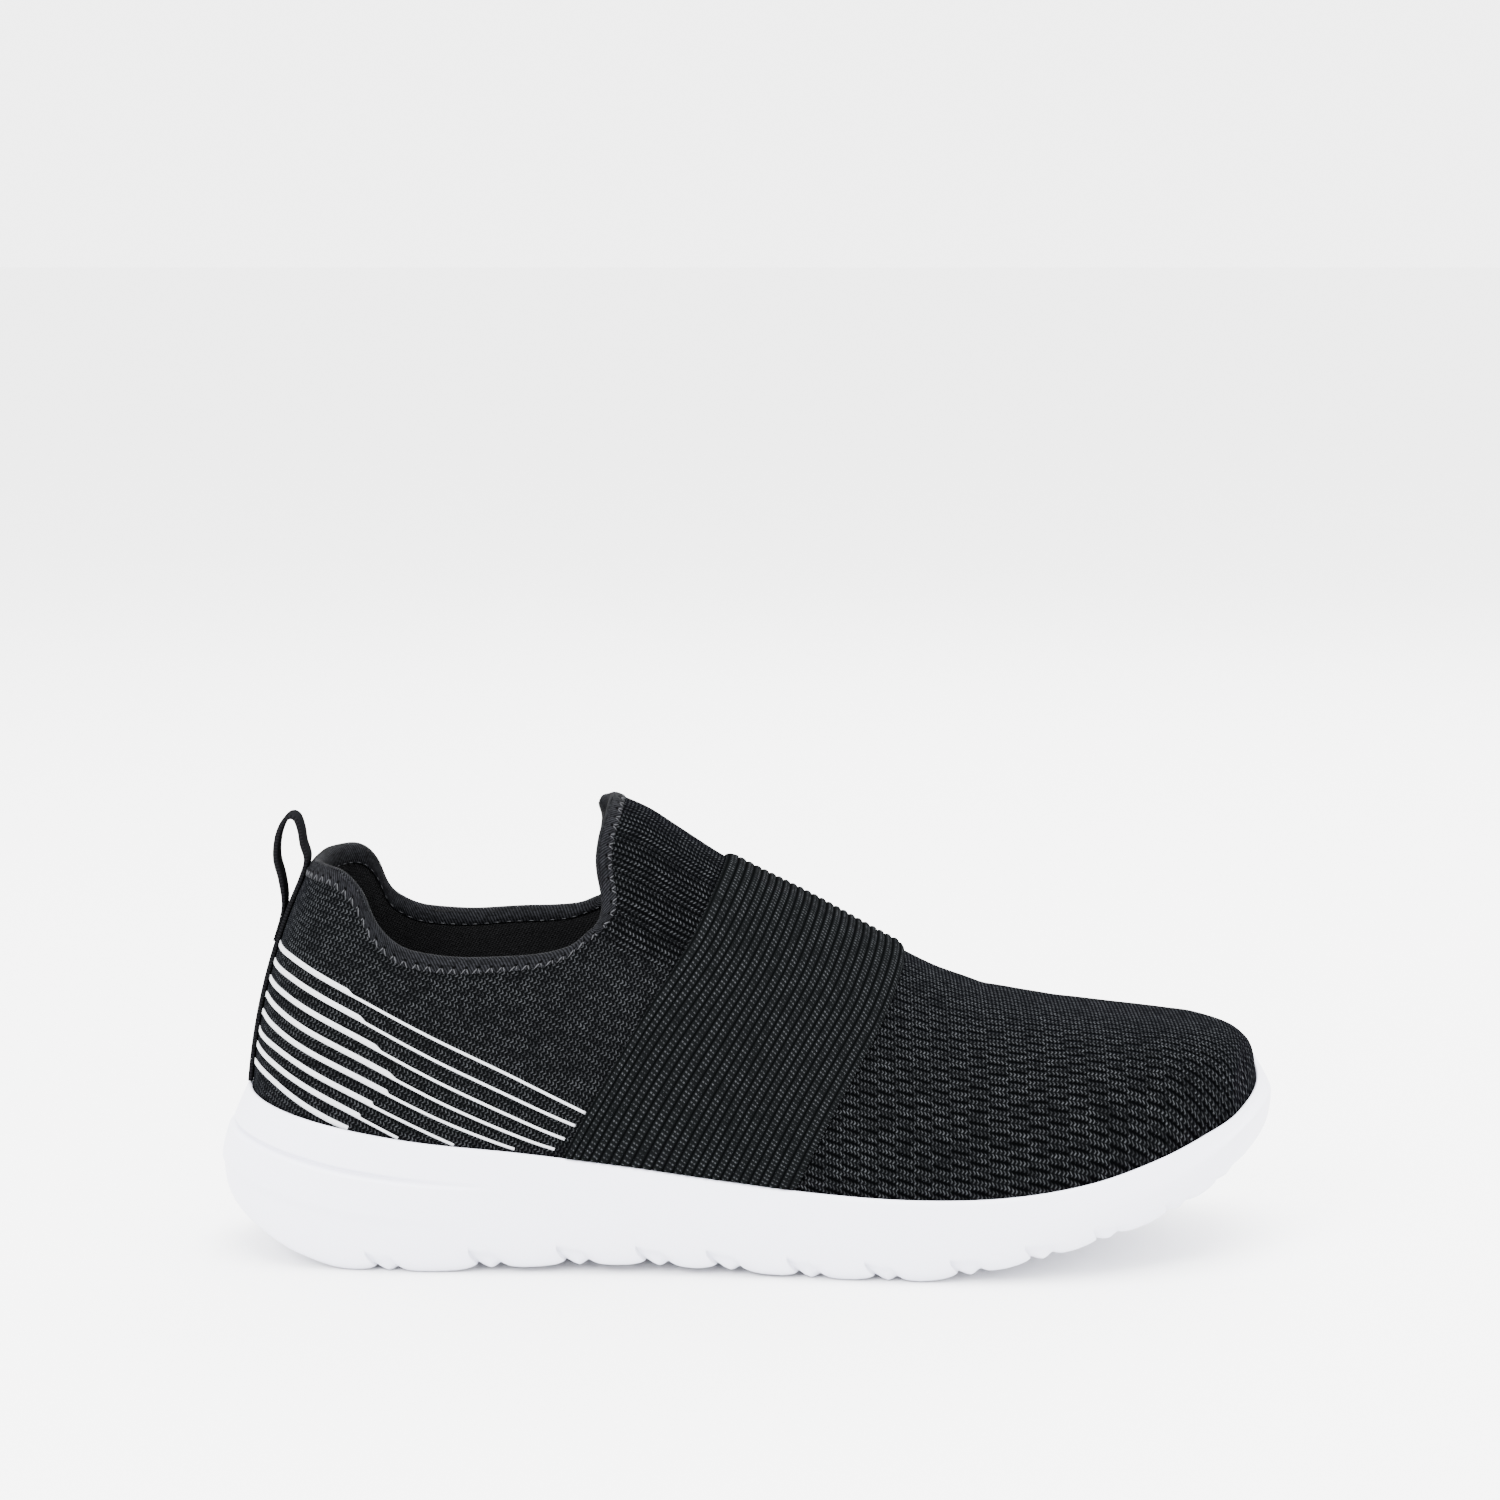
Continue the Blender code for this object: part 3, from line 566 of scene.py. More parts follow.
def mix_value(pattern, share, first, second):
    """first where share is 0 and second where it is 1."""
    rest = pattern.math("SUBTRACT", 1.0, share)
    return pattern.math(
        "ADD", pattern.math("MULTIPLY", first, rest), pattern.math("MULTIPLY", second, share)
    )


def knit_finish(colours):
    """Charcoal knit: V stitches over the quarters, ribs on the tongue, bricks on the vamp; painted highlights on the
    stitch tops and painted shade in the vamp's row lines and between the tongue's ribs.
    """
    knit = Pattern("charcoal_knit", colours.knit, 0.78, 0.0)
    along, across = knit.surface()
    place = knit.object_place()
    parts = knit.node("ShaderNodeSeparateXYZ")
    knit.tree.links.new(place, parts.inputs[0])
    x = knit.math("MULTIPLY", parts.outputs[0], 1000.0)
    z = knit.math("MULTIPLY", parts.outputs[2], 1000.0)
    vamp = knit.step(3.0, 8.0, x)
    high = knit.math("ADD", z, knit.math("MULTIPLY", x, 0.35))
    tongue = knit.math("MULTIPLY", knit.step(68.0, 82.0, high), knit.step(-60.0, -30.0, x))
    fine, valley, luck = knit.chevrons(along, across, 1.45, 1.10)
    ribs = knit.math("COSINE", knit.math("MULTIPLY", across, 2 * np.pi / 1.7))
    ribs = knit.math("MULTIPLY_ADD", ribs, 0.5, 0.5)
    wander = knit.math("MULTIPLY_ADD", knit.noise(place, 120.0, 2.0), 1.6, -0.8)
    brick = knit.math("DIVIDE", knit.math("ADD", along, wander), 5.6)
    shift = knit.math("MULTIPLY", knit.math("MODULO", knit.math("FLOOR", brick), 2.0), 0.5)
    cell = knit.math("FRACT", brick)
    end = knit.step(0.42, 0.50, knit.math("ABSOLUTE", knit.math("SUBTRACT", cell, 0.5)))
    lane = knit.math("FRACT", knit.math("ADD", knit.math("DIVIDE", across, 2.9), shift))
    edge = knit.step(0.26, 0.44, knit.math("ABSOLUTE", knit.math("SUBTRACT", lane, 0.5)))
    dash = knit.math("MULTIPLY", edge, knit.math("SUBTRACT", 1.0, knit.math("MULTIPLY", end, 0.45)))
    brick = knit.math("SUBTRACT", 1.0, dash)
    low = knit.math("MULTIPLY", fine, knit.math("SUBTRACT", 1.0, valley))
    form = mix_value(knit, tongue, 0.8, knit.step(0.1, 0.8, ribs))
    form = mix_value(knit, vamp, form, brick)
    height = knit.math("ADD", knit.math("MULTIPLY", low, 0.45), knit.math("MULTIPLY", form, 0.8))
    # Painted highlight: pale glints painted into the base colour on the raised stitch tops, standing in for the
    # yarn's shine
    bright = knit.math("MULTIPLY", knit.step(0.45, 0.95, fine), knit.math("SUBTRACT", 1.0, valley))
    chance = knit.math("MULTIPLY_ADD", knit.math("MULTIPLY", luck, luck), 0.85, 0.15)
    glint = knit.math("MULTIPLY", chance, bright)
    glint = knit.math("MULTIPLY", glint, knit.math("MULTIPLY_ADD", form, 0.95, 0.05))
    # Painted shade: the knit's colour is darkened where its relief sinks, in the vamp's row lines and between the
    # tongue's ribs
    dark = tuple(0.45 * value for value in colours.knit)
    body = knit.mix(knit.math("MULTIPLY", form, 0.9), dark, tuple(colours.knit))
    knit.colour(knit.mix(knit.math("MINIMUM", glint, 1.0), body, tuple(colours.yarn_glint)))
    knit.bump(height, 0.0005, 0.9)
    knit.shader.inputs["Sheen Weight"].default_value = 0.004
    knit.shader.inputs["Sheen Roughness"].default_value = 0.35
    knit.shader.inputs["Sheen Tint"].default_value = (0.62, 0.66, 1.0, 1)
    return knit.material


def lining_finish(colours):
    lining = Pattern("lining_mesh", colours.lining, 0.75, 0.012)
    along, across = lining.surface()
    fine, valley, luck = lining.chevrons(along, across, 0.9, 0.8)
    low = lining.math("MULTIPLY", fine, lining.math("SUBTRACT", 1.0, valley))
    # Painted highlight: the raised tops of the mesh stitches are painted paler, at random strength
    share = lining.math("MULTIPLY", low, lining.math("MULTIPLY_ADD", luck, 0.5, 0.2))
    pale = tuple(4.0 * value for value in colours.lining)
    lining.colour(lining.mix(share, tuple(colours.lining), pale))
    lining.bump(low, 0.0003, 0.7)
    return lining.material


def band_finish(colours):
    """Fine twill of the collar band, with painted highlights on its ridges, painted shade in its hollows and painted
    shade round each needle hole.
    """
    band = Pattern("band_twill", colours.band, 0.72, 0.012)
    stitch, across = band.surface(1.0)
    along = band.math("MULTIPLY", stitch, 3.4)
    across = band.math("MULTIPLY", across, 1000.0)
    slant = band.math("ADD", along, band.math("MULTIPLY", across, 0.8))
    twill = band.math("COSINE", band.math("MULTIPLY", slant, 2 * np.pi / 0.95))
    twill = band.math("MULTIPLY_ADD", twill, 0.5, 0.5)
    luck = band.chance(
        band.math("FLOOR", band.math("DIVIDE", slant, 0.95)),
        band.math("FLOOR", band.math("DIVIDE", across, 0.5)),
    )
    # Painted light: the twill's ridges are painted pale and its hollows dark
    share = band.math("MULTIPLY", twill, band.math("MULTIPLY_ADD", luck, 0.8, 0.2))
    pale = tuple(4.6 * value for value in colours.band)
    dark = tuple(0.45 * value for value in colours.band)
    # Painted shade: the colour is darkened round each needle hole, where the band dips in
    aside = band.math("SUBTRACT", band.math("FRACT", stitch), 0.5)
    aside = band.math("MULTIPLY", aside, 3.4)
    down = band.math("SUBTRACT", across, 2.3)
    away = band.math("SQRT", band.math("ADD", band.math("MULTIPLY", aside, aside), band.math("MULTIPLY", down, down)))
    cloth = band.step(0.25, 0.6, away)
    body = band.mix(share, dark, pale)
    band.colour(band.mix(cloth, tuple(0.2 * value for value in colours.band), body))
    band.bump(band.math("ADD", twill, band.math("MULTIPLY", cloth, 3.0)), 0.0002, 0.8)
    return band.material


def strap_finish(colours):
    """Ribbed elastic: two chains of loops down each rib with painted highlights on them, and painted shade in the
    grooves between the ribs.
    """
    strap = Pattern("ribbed_elastic", colours.strap, 0.68, 0.0)
    along, across = strap.surface(1.0)
    rib = strap.math("FRACT", across)
    off = strap.math("ABSOLUTE", strap.math("SUBTRACT", rib, 0.5))
    chain = strap.step(0.17, 0.06, strap.math("ABSOLUTE", strap.math("SUBTRACT", off, 0.17)))
    slant = strap.math("MULTIPLY", strap.math("SUBTRACT", rib, 0.5), 0.9)
    turn = strap.math("ADD", strap.math("MULTIPLY", along, 1000.0 / 1.25), slant)
    wave = strap.math("MULTIPLY_ADD", strap.math("COSINE", strap.math("MULTIPLY", turn, 2 * np.pi)), 0.5, 0.5)
    side = strap.math("FLOOR", strap.math("MULTIPLY", across, 2.0))
    luck = strap.chance(side, strap.math("FLOOR", turn))
    # Painted highlight: bright glints painted on the loops of each chain
    bead = strap.math("MULTIPLY", strap.step(0.45, 0.95, wave), chain)
    glint = strap.math("MULTIPLY", bead, strap.math("MULTIPLY_ADD", luck, 0.75, 0.1))
    # Painted shade: the colour is darkened in the grooves between the ribs
    groove = strap.step(0.30, 0.5, off)
    dark = tuple(0.35 * value for value in colours.strap)
    body = strap.mix(groove, tuple(colours.strap), dark)
    strap.colour(strap.mix(glint, body, tuple(colours.yarn_glint)))
    strap.bump(strap.math("ADD", bead, strap.math("MULTIPLY", wave, 0.4)), 0.00035, 0.9)
    return strap.material


def webbing_finish(colours):
    tape = Pattern("loop_webbing", colours.webbing, 0.6, 0.0)
    along, across = tape.surface()
    cross = tape.math("COSINE", tape.math("MULTIPLY", along, 2 * np.pi / 0.9))
    lanes = tape.math("COSINE", tape.math("MULTIPLY", across, 2 * np.pi / 0.9))
    # Painted highlight: the raised crossings of the weave are painted paler
    weave = tape.math("MULTIPLY_ADD", tape.math("MULTIPLY", cross, lanes), 0.5, 0.5)
    pale = tuple(3.4 * value for value in colours.webbing)
    tape.colour(tape.mix(weave, tuple(colours.webbing), pale))
    tape.bump(weave, 0.0002, 0.7)
    return tape.material


def film_finish(colours):
    film = Pattern("stripe_film", colours.stripe, 0.42)
    place = film.object_place()
    grain = film.noise(place, 900.0, 2.0)
    cloudy = film.noise(place, 60.0, 2.0)
    dull = tuple(0.86 * value for value in colours.stripe)
    film.colour(film.mix(cloudy, dull, tuple(colours.stripe)))
    film.bump(grain, 0.00008, 0.5)
    return film.material


def foam_finish(colours):
    foam = Pattern("moulded_foam", colours.foam, 0.42)
    place = foam.object_place()
    grain = foam.noise(place, 1400.0, 3.0)
    cloudy = foam.noise(place, 26.0, 3.0)
    tint = tuple(value * shade for value, shade in zip(colours.foam, (0.972, 0.972, 0.985)))
    foam.colour(foam.mix(cloudy, tuple(colours.foam), tint))
    foam.bump(grain, 0.00006, 0.35)
    foam.shader.inputs["Subsurface Weight"].default_value = 0.08
    foam.shader.inputs["Subsurface Radius"].default_value = (0.004, 0.004, 0.004)
    return foam.material


def thread_finish(colours):
    thread = Pattern("stitch_thread", colours.thread, 0.55, 0.012)
    grain = thread.noise(thread.object_place(), 1200.0, 2.0)
    dark = tuple(0.45 * value for value in colours.thread)
    thread.colour(thread.mix(grain, dark, tuple(colours.thread)))
    thread.bump(grain, 0.0001, 0.6)
    return thread.material


def floor_finish(colours):
    floor = Pattern("pale_floor", colours.floor, 0.6)
    grain = floor.noise(floor.object_place(), 3.0, 2.0)
    tint = tuple(0.985 * value for value in colours.floor)
    floor.colour(floor.mix(grain, tuple(colours.floor), tint))
    return floor.material


# Sizes and colours that a user would change

def length_property(name, description, default):
    return bpy.props.FloatProperty(
        name=name, description=description, default=default, min=0.0, precision=5,
        subtype="DISTANCE", unit="LENGTH",
    )


def colour_property(name, description, default):
    return bpy.props.FloatVectorProperty(
        name=name, description=description, default=default, size=3, min=0.0, max=1.0,
        subtype="COLOR",
    )


class SneakerSizes(bpy.types.PropertyGroup):
    knit_wall: length_property("Knit", "Thickness of the knitted outer fabric", 0.0010)
    lining_wall: length_property("Lining", "Thickness of the lining fabric", 0.0008)
    band_rise: length_property("Band rise", "How far the collar band stands proud", 0.0004)
    stitch_gap: length_property("Stitch gap", "Distance between stitches of the band", 0.0034)
    rib_rise: length_property("Rib rise", "Height of the strap's ribs", 0.0006)
    strap_ribs: bpy.props.IntProperty(
        name="Ribs", description="Number of ribs across the strap", default=22, min=4
    )
    stripe_rise: length_property("Stripe rise", "Thickness of the stripe film", 0.0002)
    stripe_broad: length_property("Broad stripe", "Width of a stripe at the heel", 0.00150)
    stripe_thin: length_property("Thin stripe", "Width of a stripe ahead of its step", 0.00075)
    lug_step: length_property("Lug step", "Depth of the scoop ahead of each lug", 0.0018)


class SneakerColours(bpy.types.PropertyGroup):
    knit: colour_property("Knit", "Body of the knit", (0.0014, 0.0015, 0.0017))
    # Painted highlight colour: the glints painted on the knit's stitch tops and on the strap's loops
    yarn_glint: colour_property("Yarn", "Bright loops of the knit", (0.036, 0.038, 0.041))
    strap: colour_property("Strap", "Ribbed elastic", (0.0026, 0.0029, 0.0031))
    band: colour_property("Band", "Twill of the collar band", (0.0030, 0.0031, 0.0036))
    webbing: colour_property("Webbing", "Heel loop", (0.0022, 0.0022, 0.0025))
    lining: colour_property("Lining", "Mesh lining and footbed", (0.0042, 0.0042, 0.0045))
    thread: colour_property("Thread", "Stitches of the band", (0.052, 0.053, 0.057))
    stripe: colour_property("Stripes", "Film of the heel stripes", (0.45, 0.46, 0.48))
    foam: colour_property("Foam", "Moulded sole", (0.74, 0.745, 0.83))
    floor: colour_property("Floor", "Plain floor", (0.90, 0.90, 0.90))


# The knit's own directions

def ridge_line():
    """The middle line over the top of the shoe and down the toe, by rising x."""
    ribs = np.linspace(TONGUE_RIB, LAST_RIB, 160)
    top = upper_point(LATERAL, ribs, np.full_like(ribs, 2.0))
    toe = upper_point(LATERAL, np.full(60, float(LAST_RIB)), np.linspace(2, 0, 60))[1:]
    line = np.concatenate([top, toe])
    return line[np.concatenate([[True], np.diff(line[:, 0]) > ON_SKIN])]


def knit_uvs(points, loop):
    """How far along and across the knit's rows each point lies, in metres."""
    ridge = ridge_line()
    length = np.concatenate([[0], np.cumsum(np.linalg.norm(np.diff(ridge, axis=0), axis=1))])
    x, y, z = points[..., 0], points[..., 1], points[..., 2]
    over = np.stack([np.interp(x, ridge[:, 0], ridge[:, k]) for k in (1, 2)], axis=-1)
    vamp_across = np.hypot(y - over[..., 0], z - over[..., 1])
    vamp_along = np.interp(x, ridge[:, 0], length)
    places = np.linspace(0, LAST_SECTION / 3, 200)
    edge = outline(places)
    run = np.concatenate([[0], np.cumsum(np.linalg.norm(np.diff(edge, axis=0), axis=1))])
    turned = (run[-1] - run) - (edge[-1, 0] - edge[:, 0])
    place = np.minimum(loop, 2 * LAST_SECTION - loop)
    x_round = x - np.interp(place, places, turned)
    lean = np.radians(29.0)
    along = x_round * np.cos(lean) - z * np.sin(lean)
    rise = z * np.cos(lean) + x_round * np.sin(lean)
    ridge_along = ridge[:, 0] * np.cos(lean) - ridge[:, 2] * np.sin(lean)
    ridge_rise = ridge[:, 2] * np.cos(lean) + ridge[:, 0] * np.sin(lean)
    top = np.interp(along, ridge_along, ridge_rise)
    middle = np.interp(along, ridge_along, ridge[:, 1])
    across = np.hypot(top - rise, y - middle)
    ahead = soft_step(0.001, 0.010, x)
    return np.stack(
        [along * (1 - ahead) + vamp_along * ahead, across * (1 - ahead) + vamp_across * ahead],
        axis=-1,
    )


def upper_grid(per_rib, levels, top_levels):
    """Points and loop places over both sides of the upper, by level and rib, with the rib
    of each column and the level of each row."""
    ribs = np.linspace(0, LAST_RIB, LAST_RIB * per_rib + 1)
    both = [(LATERAL, ribs), (MEDIAL, ribs[::-1])]
    all_levels = np.concatenate([levels, top_levels])
    points, loops = [], []
    for side, run in both:
        rib, level = np.meshgrid(run, all_levels)
        loop, share = upper_places(side, rib, level)
        points.append(last_point(loop, share))
        loops.append(loop)
    rib_of = np.concatenate([ribs, ribs[::-1][1:]])
    points = np.concatenate([points[0], points[1][:, 1:]], axis=1)
    loops = np.concatenate([loops[0], loops[1][:, 1:]], axis=1)
    return points, loops, rib_of, all_levels


def open_collar(bm, spots, rib_of, all_levels):
    """Cuts the opening and closes the seams at the heel and along the crest."""
    gone = []
    for face in bm.faces:
        ribs = [rib_of[spots[vert][1]] for vert in face.verts]
        levels = [all_levels[spots[vert][0]] for vert in face.verts]
        if sum(ribs) / 4 < TONGUE_RIB and sum(levels) / 4 > 1:
            gone.append(face)
    bmesh.ops.delete(bm, geom=gone, context="FACES")
    bmesh.ops.remove_doubles(bm, verts=bm.verts, dist=ON_SKIN)
    face_out(bm, (0.0, 0.0, 0.03))


def pad_wall(points, edge):
    """The upper's wall at each point, thicker near the collar's edge."""
    flat = points.reshape(-1, 3)
    away = np.min(
        np.linalg.norm(flat[:, None, :] - edge[None, ::8, :], axis=-1), axis=1
    ).reshape(points.shape[:-1])
    pad = COLLAR_PAD * np.clip(1 - away / PAD_REACH, 0, 1) ** PAD_POWER
    lip = np.clip(1 - away / BINDING_WIDTH, 0, 1)
    return (UPPER_WALL + pad) * (1 - lip) + (COLLAR_LIP - 0.0004) * lip


def collar_runs():
    """The collar's edge and the line a band's width from it, all round the opening."""
    edges, bands = [], []
    for side in (LATERAL, MEDIAL):
        rib = np.linspace(0, TONGUE_RIB, 240)
        middle = around(side, place_at(rib_value("middle", rib)))
        foot = around(side, place_at(rib_value("foot", rib)))
        top = height_share(middle, collar_z(side, rib))
        rim = height_share(foot, rim_height(foot) + FIT)
        low = height_share(middle, collar_z(side, rib) - BINDING_WIDTH)
        band_level = (low - rim) / (top - rim)
        edge = [upper_point(side, rib, np.ones_like(rib))]
        band = [upper_point(side, rib, band_level)]
        corner = np.linspace(0, 1, 9)[1:]
        still = np.full(8, float(TONGUE_RIB))
        edge.append(upper_point(side, np.concatenate([still, still]), np.ones(16)))
        turn = np.concatenate([TONGUE_RIB + corner, np.full(8, float(SEAM_RIB))])
        rise = np.concatenate(
            [np.full(8, band_level[-1]), band_level[-1] + (1 - band_level[-1]) * corner]
        )
        band.append(upper_point(side, turn, rise))
        level = np.linspace(1, 2, 80)[1:]
        edge.append(upper_point(side, np.full_like(level, TONGUE_RIB), level))
        band.append(upper_point(side, np.full_like(level, SEAM_RIB), level))
        edges.append(np.concatenate(edge))
        bands.append(np.concatenate(band))
    edge = np.concatenate([edges[0], edges[1][::-1][1:-1]])
    band = np.concatenate([bands[0], bands[1][::-1][1:-1]])
    _, (middle, edge, band) = even_samples((edge + band) / 2, 900, edge, band)
    edge, band = rounded(edge, 5), rounded(band, 6)
    length, (middle, edge, band) = even_samples((edge + band) / 2, 900, edge, band)
    along = np.roll(middle, -1, axis=0) - np.roll(middle, 1, axis=0)
    inward = band - edge
    out = unit(np.cross(along, inward))
    if out[0, 0] > 0:
        out = -out
    return length, edge, inward, out


# Soft creases of the knit: place along, height, lean in degrees, half length, half width and
# depth
CREASES = (
    (-0.060, 0.0660, -26.0, 0.0160, 0.0032, 0.00070),
    (-0.040, 0.0600, -34.0, 0.0140, 0.0030, 0.00060),
    (-0.085, 0.0800, -30.0, 0.0120, 0.0030, 0.00050),
    (-0.030, 0.0900, -62.0, 0.0130, 0.0030, 0.00050),
    (0.0620, 0.0640, 58.0, 0.0140, 0.0036, 0.00060),
    (0.0800, 0.0560, 52.0, 0.0120, 0.0036, 0.00050),
    (0.1390, 0.0500, 78.0, 0.0060, 0.0014, 0.00060),
    (0.1325, 0.0440, 74.0, 0.0055, 0.0014, 0.00055),
    (0.1240, 0.0400, 72.0, 0.0050, 0.0014, 0.00045),
)


def crease_depth(x, z):
    depth = 0.0
    for crease_x, crease_z, lean, half_length, half_width, deep in CREASES:
        turn = np.radians(lean)
        along = (x - crease_x) * np.cos(turn) + (z - crease_z) * np.sin(turn)
        off = (z - crease_z) * np.cos(turn) - (x - crease_x) * np.sin(turn)
        depth += deep * np.exp(-((along / half_length) ** 2) - (off / half_width) ** 2)
    return depth


# The pieces

def build_knit(sizes, colours):
    levels = np.concatenate([[-0.25, -0.1], np.linspace(0, 1, 44)])
    points, loops, rib_of, all_levels = upper_grid(5, levels, np.linspace(1, 2, 32)[1:])
    uvs = knit_uvs(points, loops)
    bm, spots = grid_mesh(points, uvs)
    open_collar(bm, spots, rib_of, all_levels)
    for vert in bm.verts:
        vert.co -= vert.normal * crease_depth(vert.co.x, vert.co.z)
    piece = add_piece("knit_upper", bm, knit_finish(colours), "knit_charcoal", "upper")
    thicken(piece, sizes.knit_wall, -1.0)


def build_lining(sizes, colours):
    """The padded lining: it swells inward below the collar and thins out over the foot."""
    levels = np.concatenate([[-1.0, -0.75, -0.5, -0.25], np.linspace(0, 1, 26)])
    points, loops, rib_of, all_levels = upper_grid(3, levels, np.linspace(1, 2, 18)[1:])
    _, edge, _, _ = collar_runs()
    walls = pad_wall(points, edge)
    bm, spots = grid_mesh(points, knit_uvs(points, loops), walls)
    open_collar(bm, spots, rib_of, all_levels)
    layer = bm.verts.layers.float["wall"]
    for vert in bm.verts:
        vert.co -= vert.normal * vert[layer]
    piece = add_piece("padded_lining", bm, lining_finish(colours), "lining_black", "upper")
    thicken(piece, sizes.lining_wall, 1.0)


def band_ring(rise, lip, deep):
    """The band's folded outline: into the wall, and out from its surface."""
    width = BINDING_WIDTH
    return (
        (width, -0.0003),
        (width - 0.00005, rise * 0.6),
        (width - 0.0005, rise),
        (width * 0.5, rise),
        (0.0010, rise * 0.95),
        (0.0002, rise * 0.3),
        (-0.00045, -0.0006),
        (-0.00065, -lip * 0.5),
        (-0.00045, -lip * 0.8),
        (0.0003, -lip - 0.0002),
        (0.0018, -(lip + deep) / 2 - 0.0003),
        (width - 0.0005, -deep - 0.00035),
        (width, -deep),
        (width - 0.0006, -deep + 0.0008),
        (0.0018, -(lip + deep) / 2 + 0.0006),
        (0.0014, -lip * 0.5),
        (0.0018, -0.0008),
        (width - 0.0006, -0.0006),
    )


def build_band(sizes, colours):
    """The band folded over the collar's edge, puckered between its stitches."""
    length, edge, inward, out = collar_runs()
    reach = np.linalg.norm(inward, axis=1, keepdims=True)
    into = inward / reach
    deep = UPPER_WALL + COLLAR_PAD * (1 - BINDING_WIDTH / PAD_REACH) ** PAD_POWER
    ring = band_ring(sizes.band_rise, COLLAR_LIP, deep)
    count = len(edge)
    at = np.arange(count) * length / count
    stitches = round(length / sizes.stitch_gap)
    pucker = np.cos(2 * np.pi * at * stitches / length)
    pucker += 0.5 * np.sin(2 * np.pi * at / (length / 61))
    rows = []
    for number, (wide, rise) in enumerate(ring):
        near = 1.0 if number in (2, 3) else 0.0
        lift = rise + near * 0.00010 * pucker
        slide = wide * reach[:, 0] / BINDING_WIDTH
        rows.append(edge + into * slide[:, None] + out * np.broadcast_to(lift, (count,))[:, None])
    rows.append(rows[0])
    points = np.stack(rows)
    points = np.concatenate([points, points[:, :1]], axis=1)
    around_ring = np.concatenate(
        [[0], np.cumsum([np.hypot(*np.subtract(a, b)) for a, b in zip(ring, ring[1:] + ring[:1])])]
    )
    uvs = np.zeros(points.shape[:2] + (2,))
    uvs[..., 0] = (np.append(at, length) / length * stitches)[None, :]
    uvs[..., 1] = around_ring[:, None]
    bm, _ = grid_mesh(points, uvs)
    bmesh.ops.remove_doubles(bm, verts=bm.verts, dist=ON_SKIN / 10)
    bmesh.ops.recalc_face_normals(bm, faces=bm.faces)
    add_piece("collar_band", bm, band_finish(colours), "twill_charcoal", "collar_binding")
    build_stitches(sizes, colours, stitches, edge, into, reach[:, 0], out, deep)


def build_stitches(sizes, colours, stitches, edge, into, reach, out, deep):
    """V stitches from each needle hole of the band down to its lower edge, and a row of
    single stitches on the inside."""
    bm = bmesh.new()
    count = len(edge)
    along = unit(np.roll(edge, -1, axis=0) - np.roll(edge, 1, axis=0))
    legs = []
    for number in range(stitches):
        spot = int((number + 0.5) * count / stitches) % count
        down = into[spot] * reach[spot] / BINDING_WIDTH
        lift = sizes.band_rise + 0.00008
        for side in (-1, 1):
            top = edge[spot] + down * 0.0027 + along[spot] * side * 0.00015 + out[spot] * lift
            foot = edge[spot] + down * 0.0043 + along[spot] * side * 0.0011
            legs.append((top, foot + out[spot] * (sizes.band_rise * 0.35), out[spot], 0.00020))
        inner = edge[spot] + down * 0.0036 - out[spot] * (deep + 0.0003)
        legs.append((inner - along[spot] * 0.0007, inner + along[spot] * 0.0007, out[spot], 0.00011))
    for start, end, lift, thick in legs:
        middle = (start + end) / 2
        half = (end - start) / 2
        side = np.cross(lift, half)
        side *= thick / np.linalg.norm(side)
        made = bmesh.ops.create_uvsphere(bm, u_segments=6, v_segments=5, radius=1)
        for vert in made["verts"]:
            x, y, z = vert.co
            vert.co = middle + half * z + side * x + lift * y * thick
    bmesh.ops.recalc_face_normals(bm, faces=bm.faces)
    add_piece("collar_stitches", bm, thread_finish(colours), "twill_charcoal")


def build_strap(sizes, colours):
    """The ribbed elastic over the instep, from the rim on one side to the rim on the other."""
    per_rib = 8
    ribs = sizes.strap_ribs
    across = np.linspace(0, 1, (ribs + 2) * per_rib + 1)
    lanes = across * (ribs + 2) - 1.25
    bump = np.abs(np.sin(np.pi * np.clip(lanes, 0, ribs))) ** 0.75
    rise = sizes.rib_rise * bump + 0.0011
    rise = np.where(lanes < 0, 0.00135 - 0.0003 * np.cos(np.pi * (lanes + 1.25) / 1.25), rise)
    rise *= np.clip(np.minimum(across, 1 - across) * 60, 0, 1) ** 0.4
    rise = np.maximum(rise, 0.0003)
    rib = STRAP_START + across * (STRAP_END - STRAP_START)
    steps = np.concatenate([np.linspace(0, 1, 60), np.linspace(1, 2, 46)[1:]])
    halves = []
    for side in (LATERAL, MEDIAL):
        level, column = np.meshgrid(steps, rib, indexing="ij")
        loop, share = upper_places(side, column, level)
        for _ in range(320):
            loop[1:-1] = (loop[:-2] + 2 * loop[1:-1] + loop[2:]) / 4
            share[1:-1] = (share[:-2] + 2 * share[1:-1] + share[2:]) / 4
        halves.append(last_point(loop, share))
    points = np.concatenate([halves[0], halves[1][::-1][1:]])
    down = np.gradient(points, axis=0)
    over = np.gradient(points, axis=1)
    out = unit(np.cross(over, down))
    if out[0, 0, 1] > 0:
        out = -out
    run = np.linalg.norm(np.diff(points[:, points.shape[1] // 2], axis=0), axis=1)
    uvs = np.zeros(points.shape[:2] + (2,))
    uvs[..., 0] = np.concatenate([[0], np.cumsum(run)])[:, None]
    uvs[..., 1] = lanes[None, :]
    bm, _ = grid_mesh(points + out * (FIT + rise)[None, :, None], uvs)
    face_out(bm, (0.0, 0.0, 0.03))
    piece = add_piece("ribbed_strap", bm, strap_finish(colours), "elastic_charcoal", "instep_strap")
    thicken(piece, 0.0009, -1.0)


def heel_back(across, z):
    """How far along the length the heel's outer surface stands, off its middle by across."""
    loop = np.linspace(0, 3, 61)
    spots = [last_point(loop, height_share(loop, np.full_like(loop, level))) for level in z]
    return np.array([np.interp(across, -spot[:, 1], spot[:, 0]) for spot in spots])


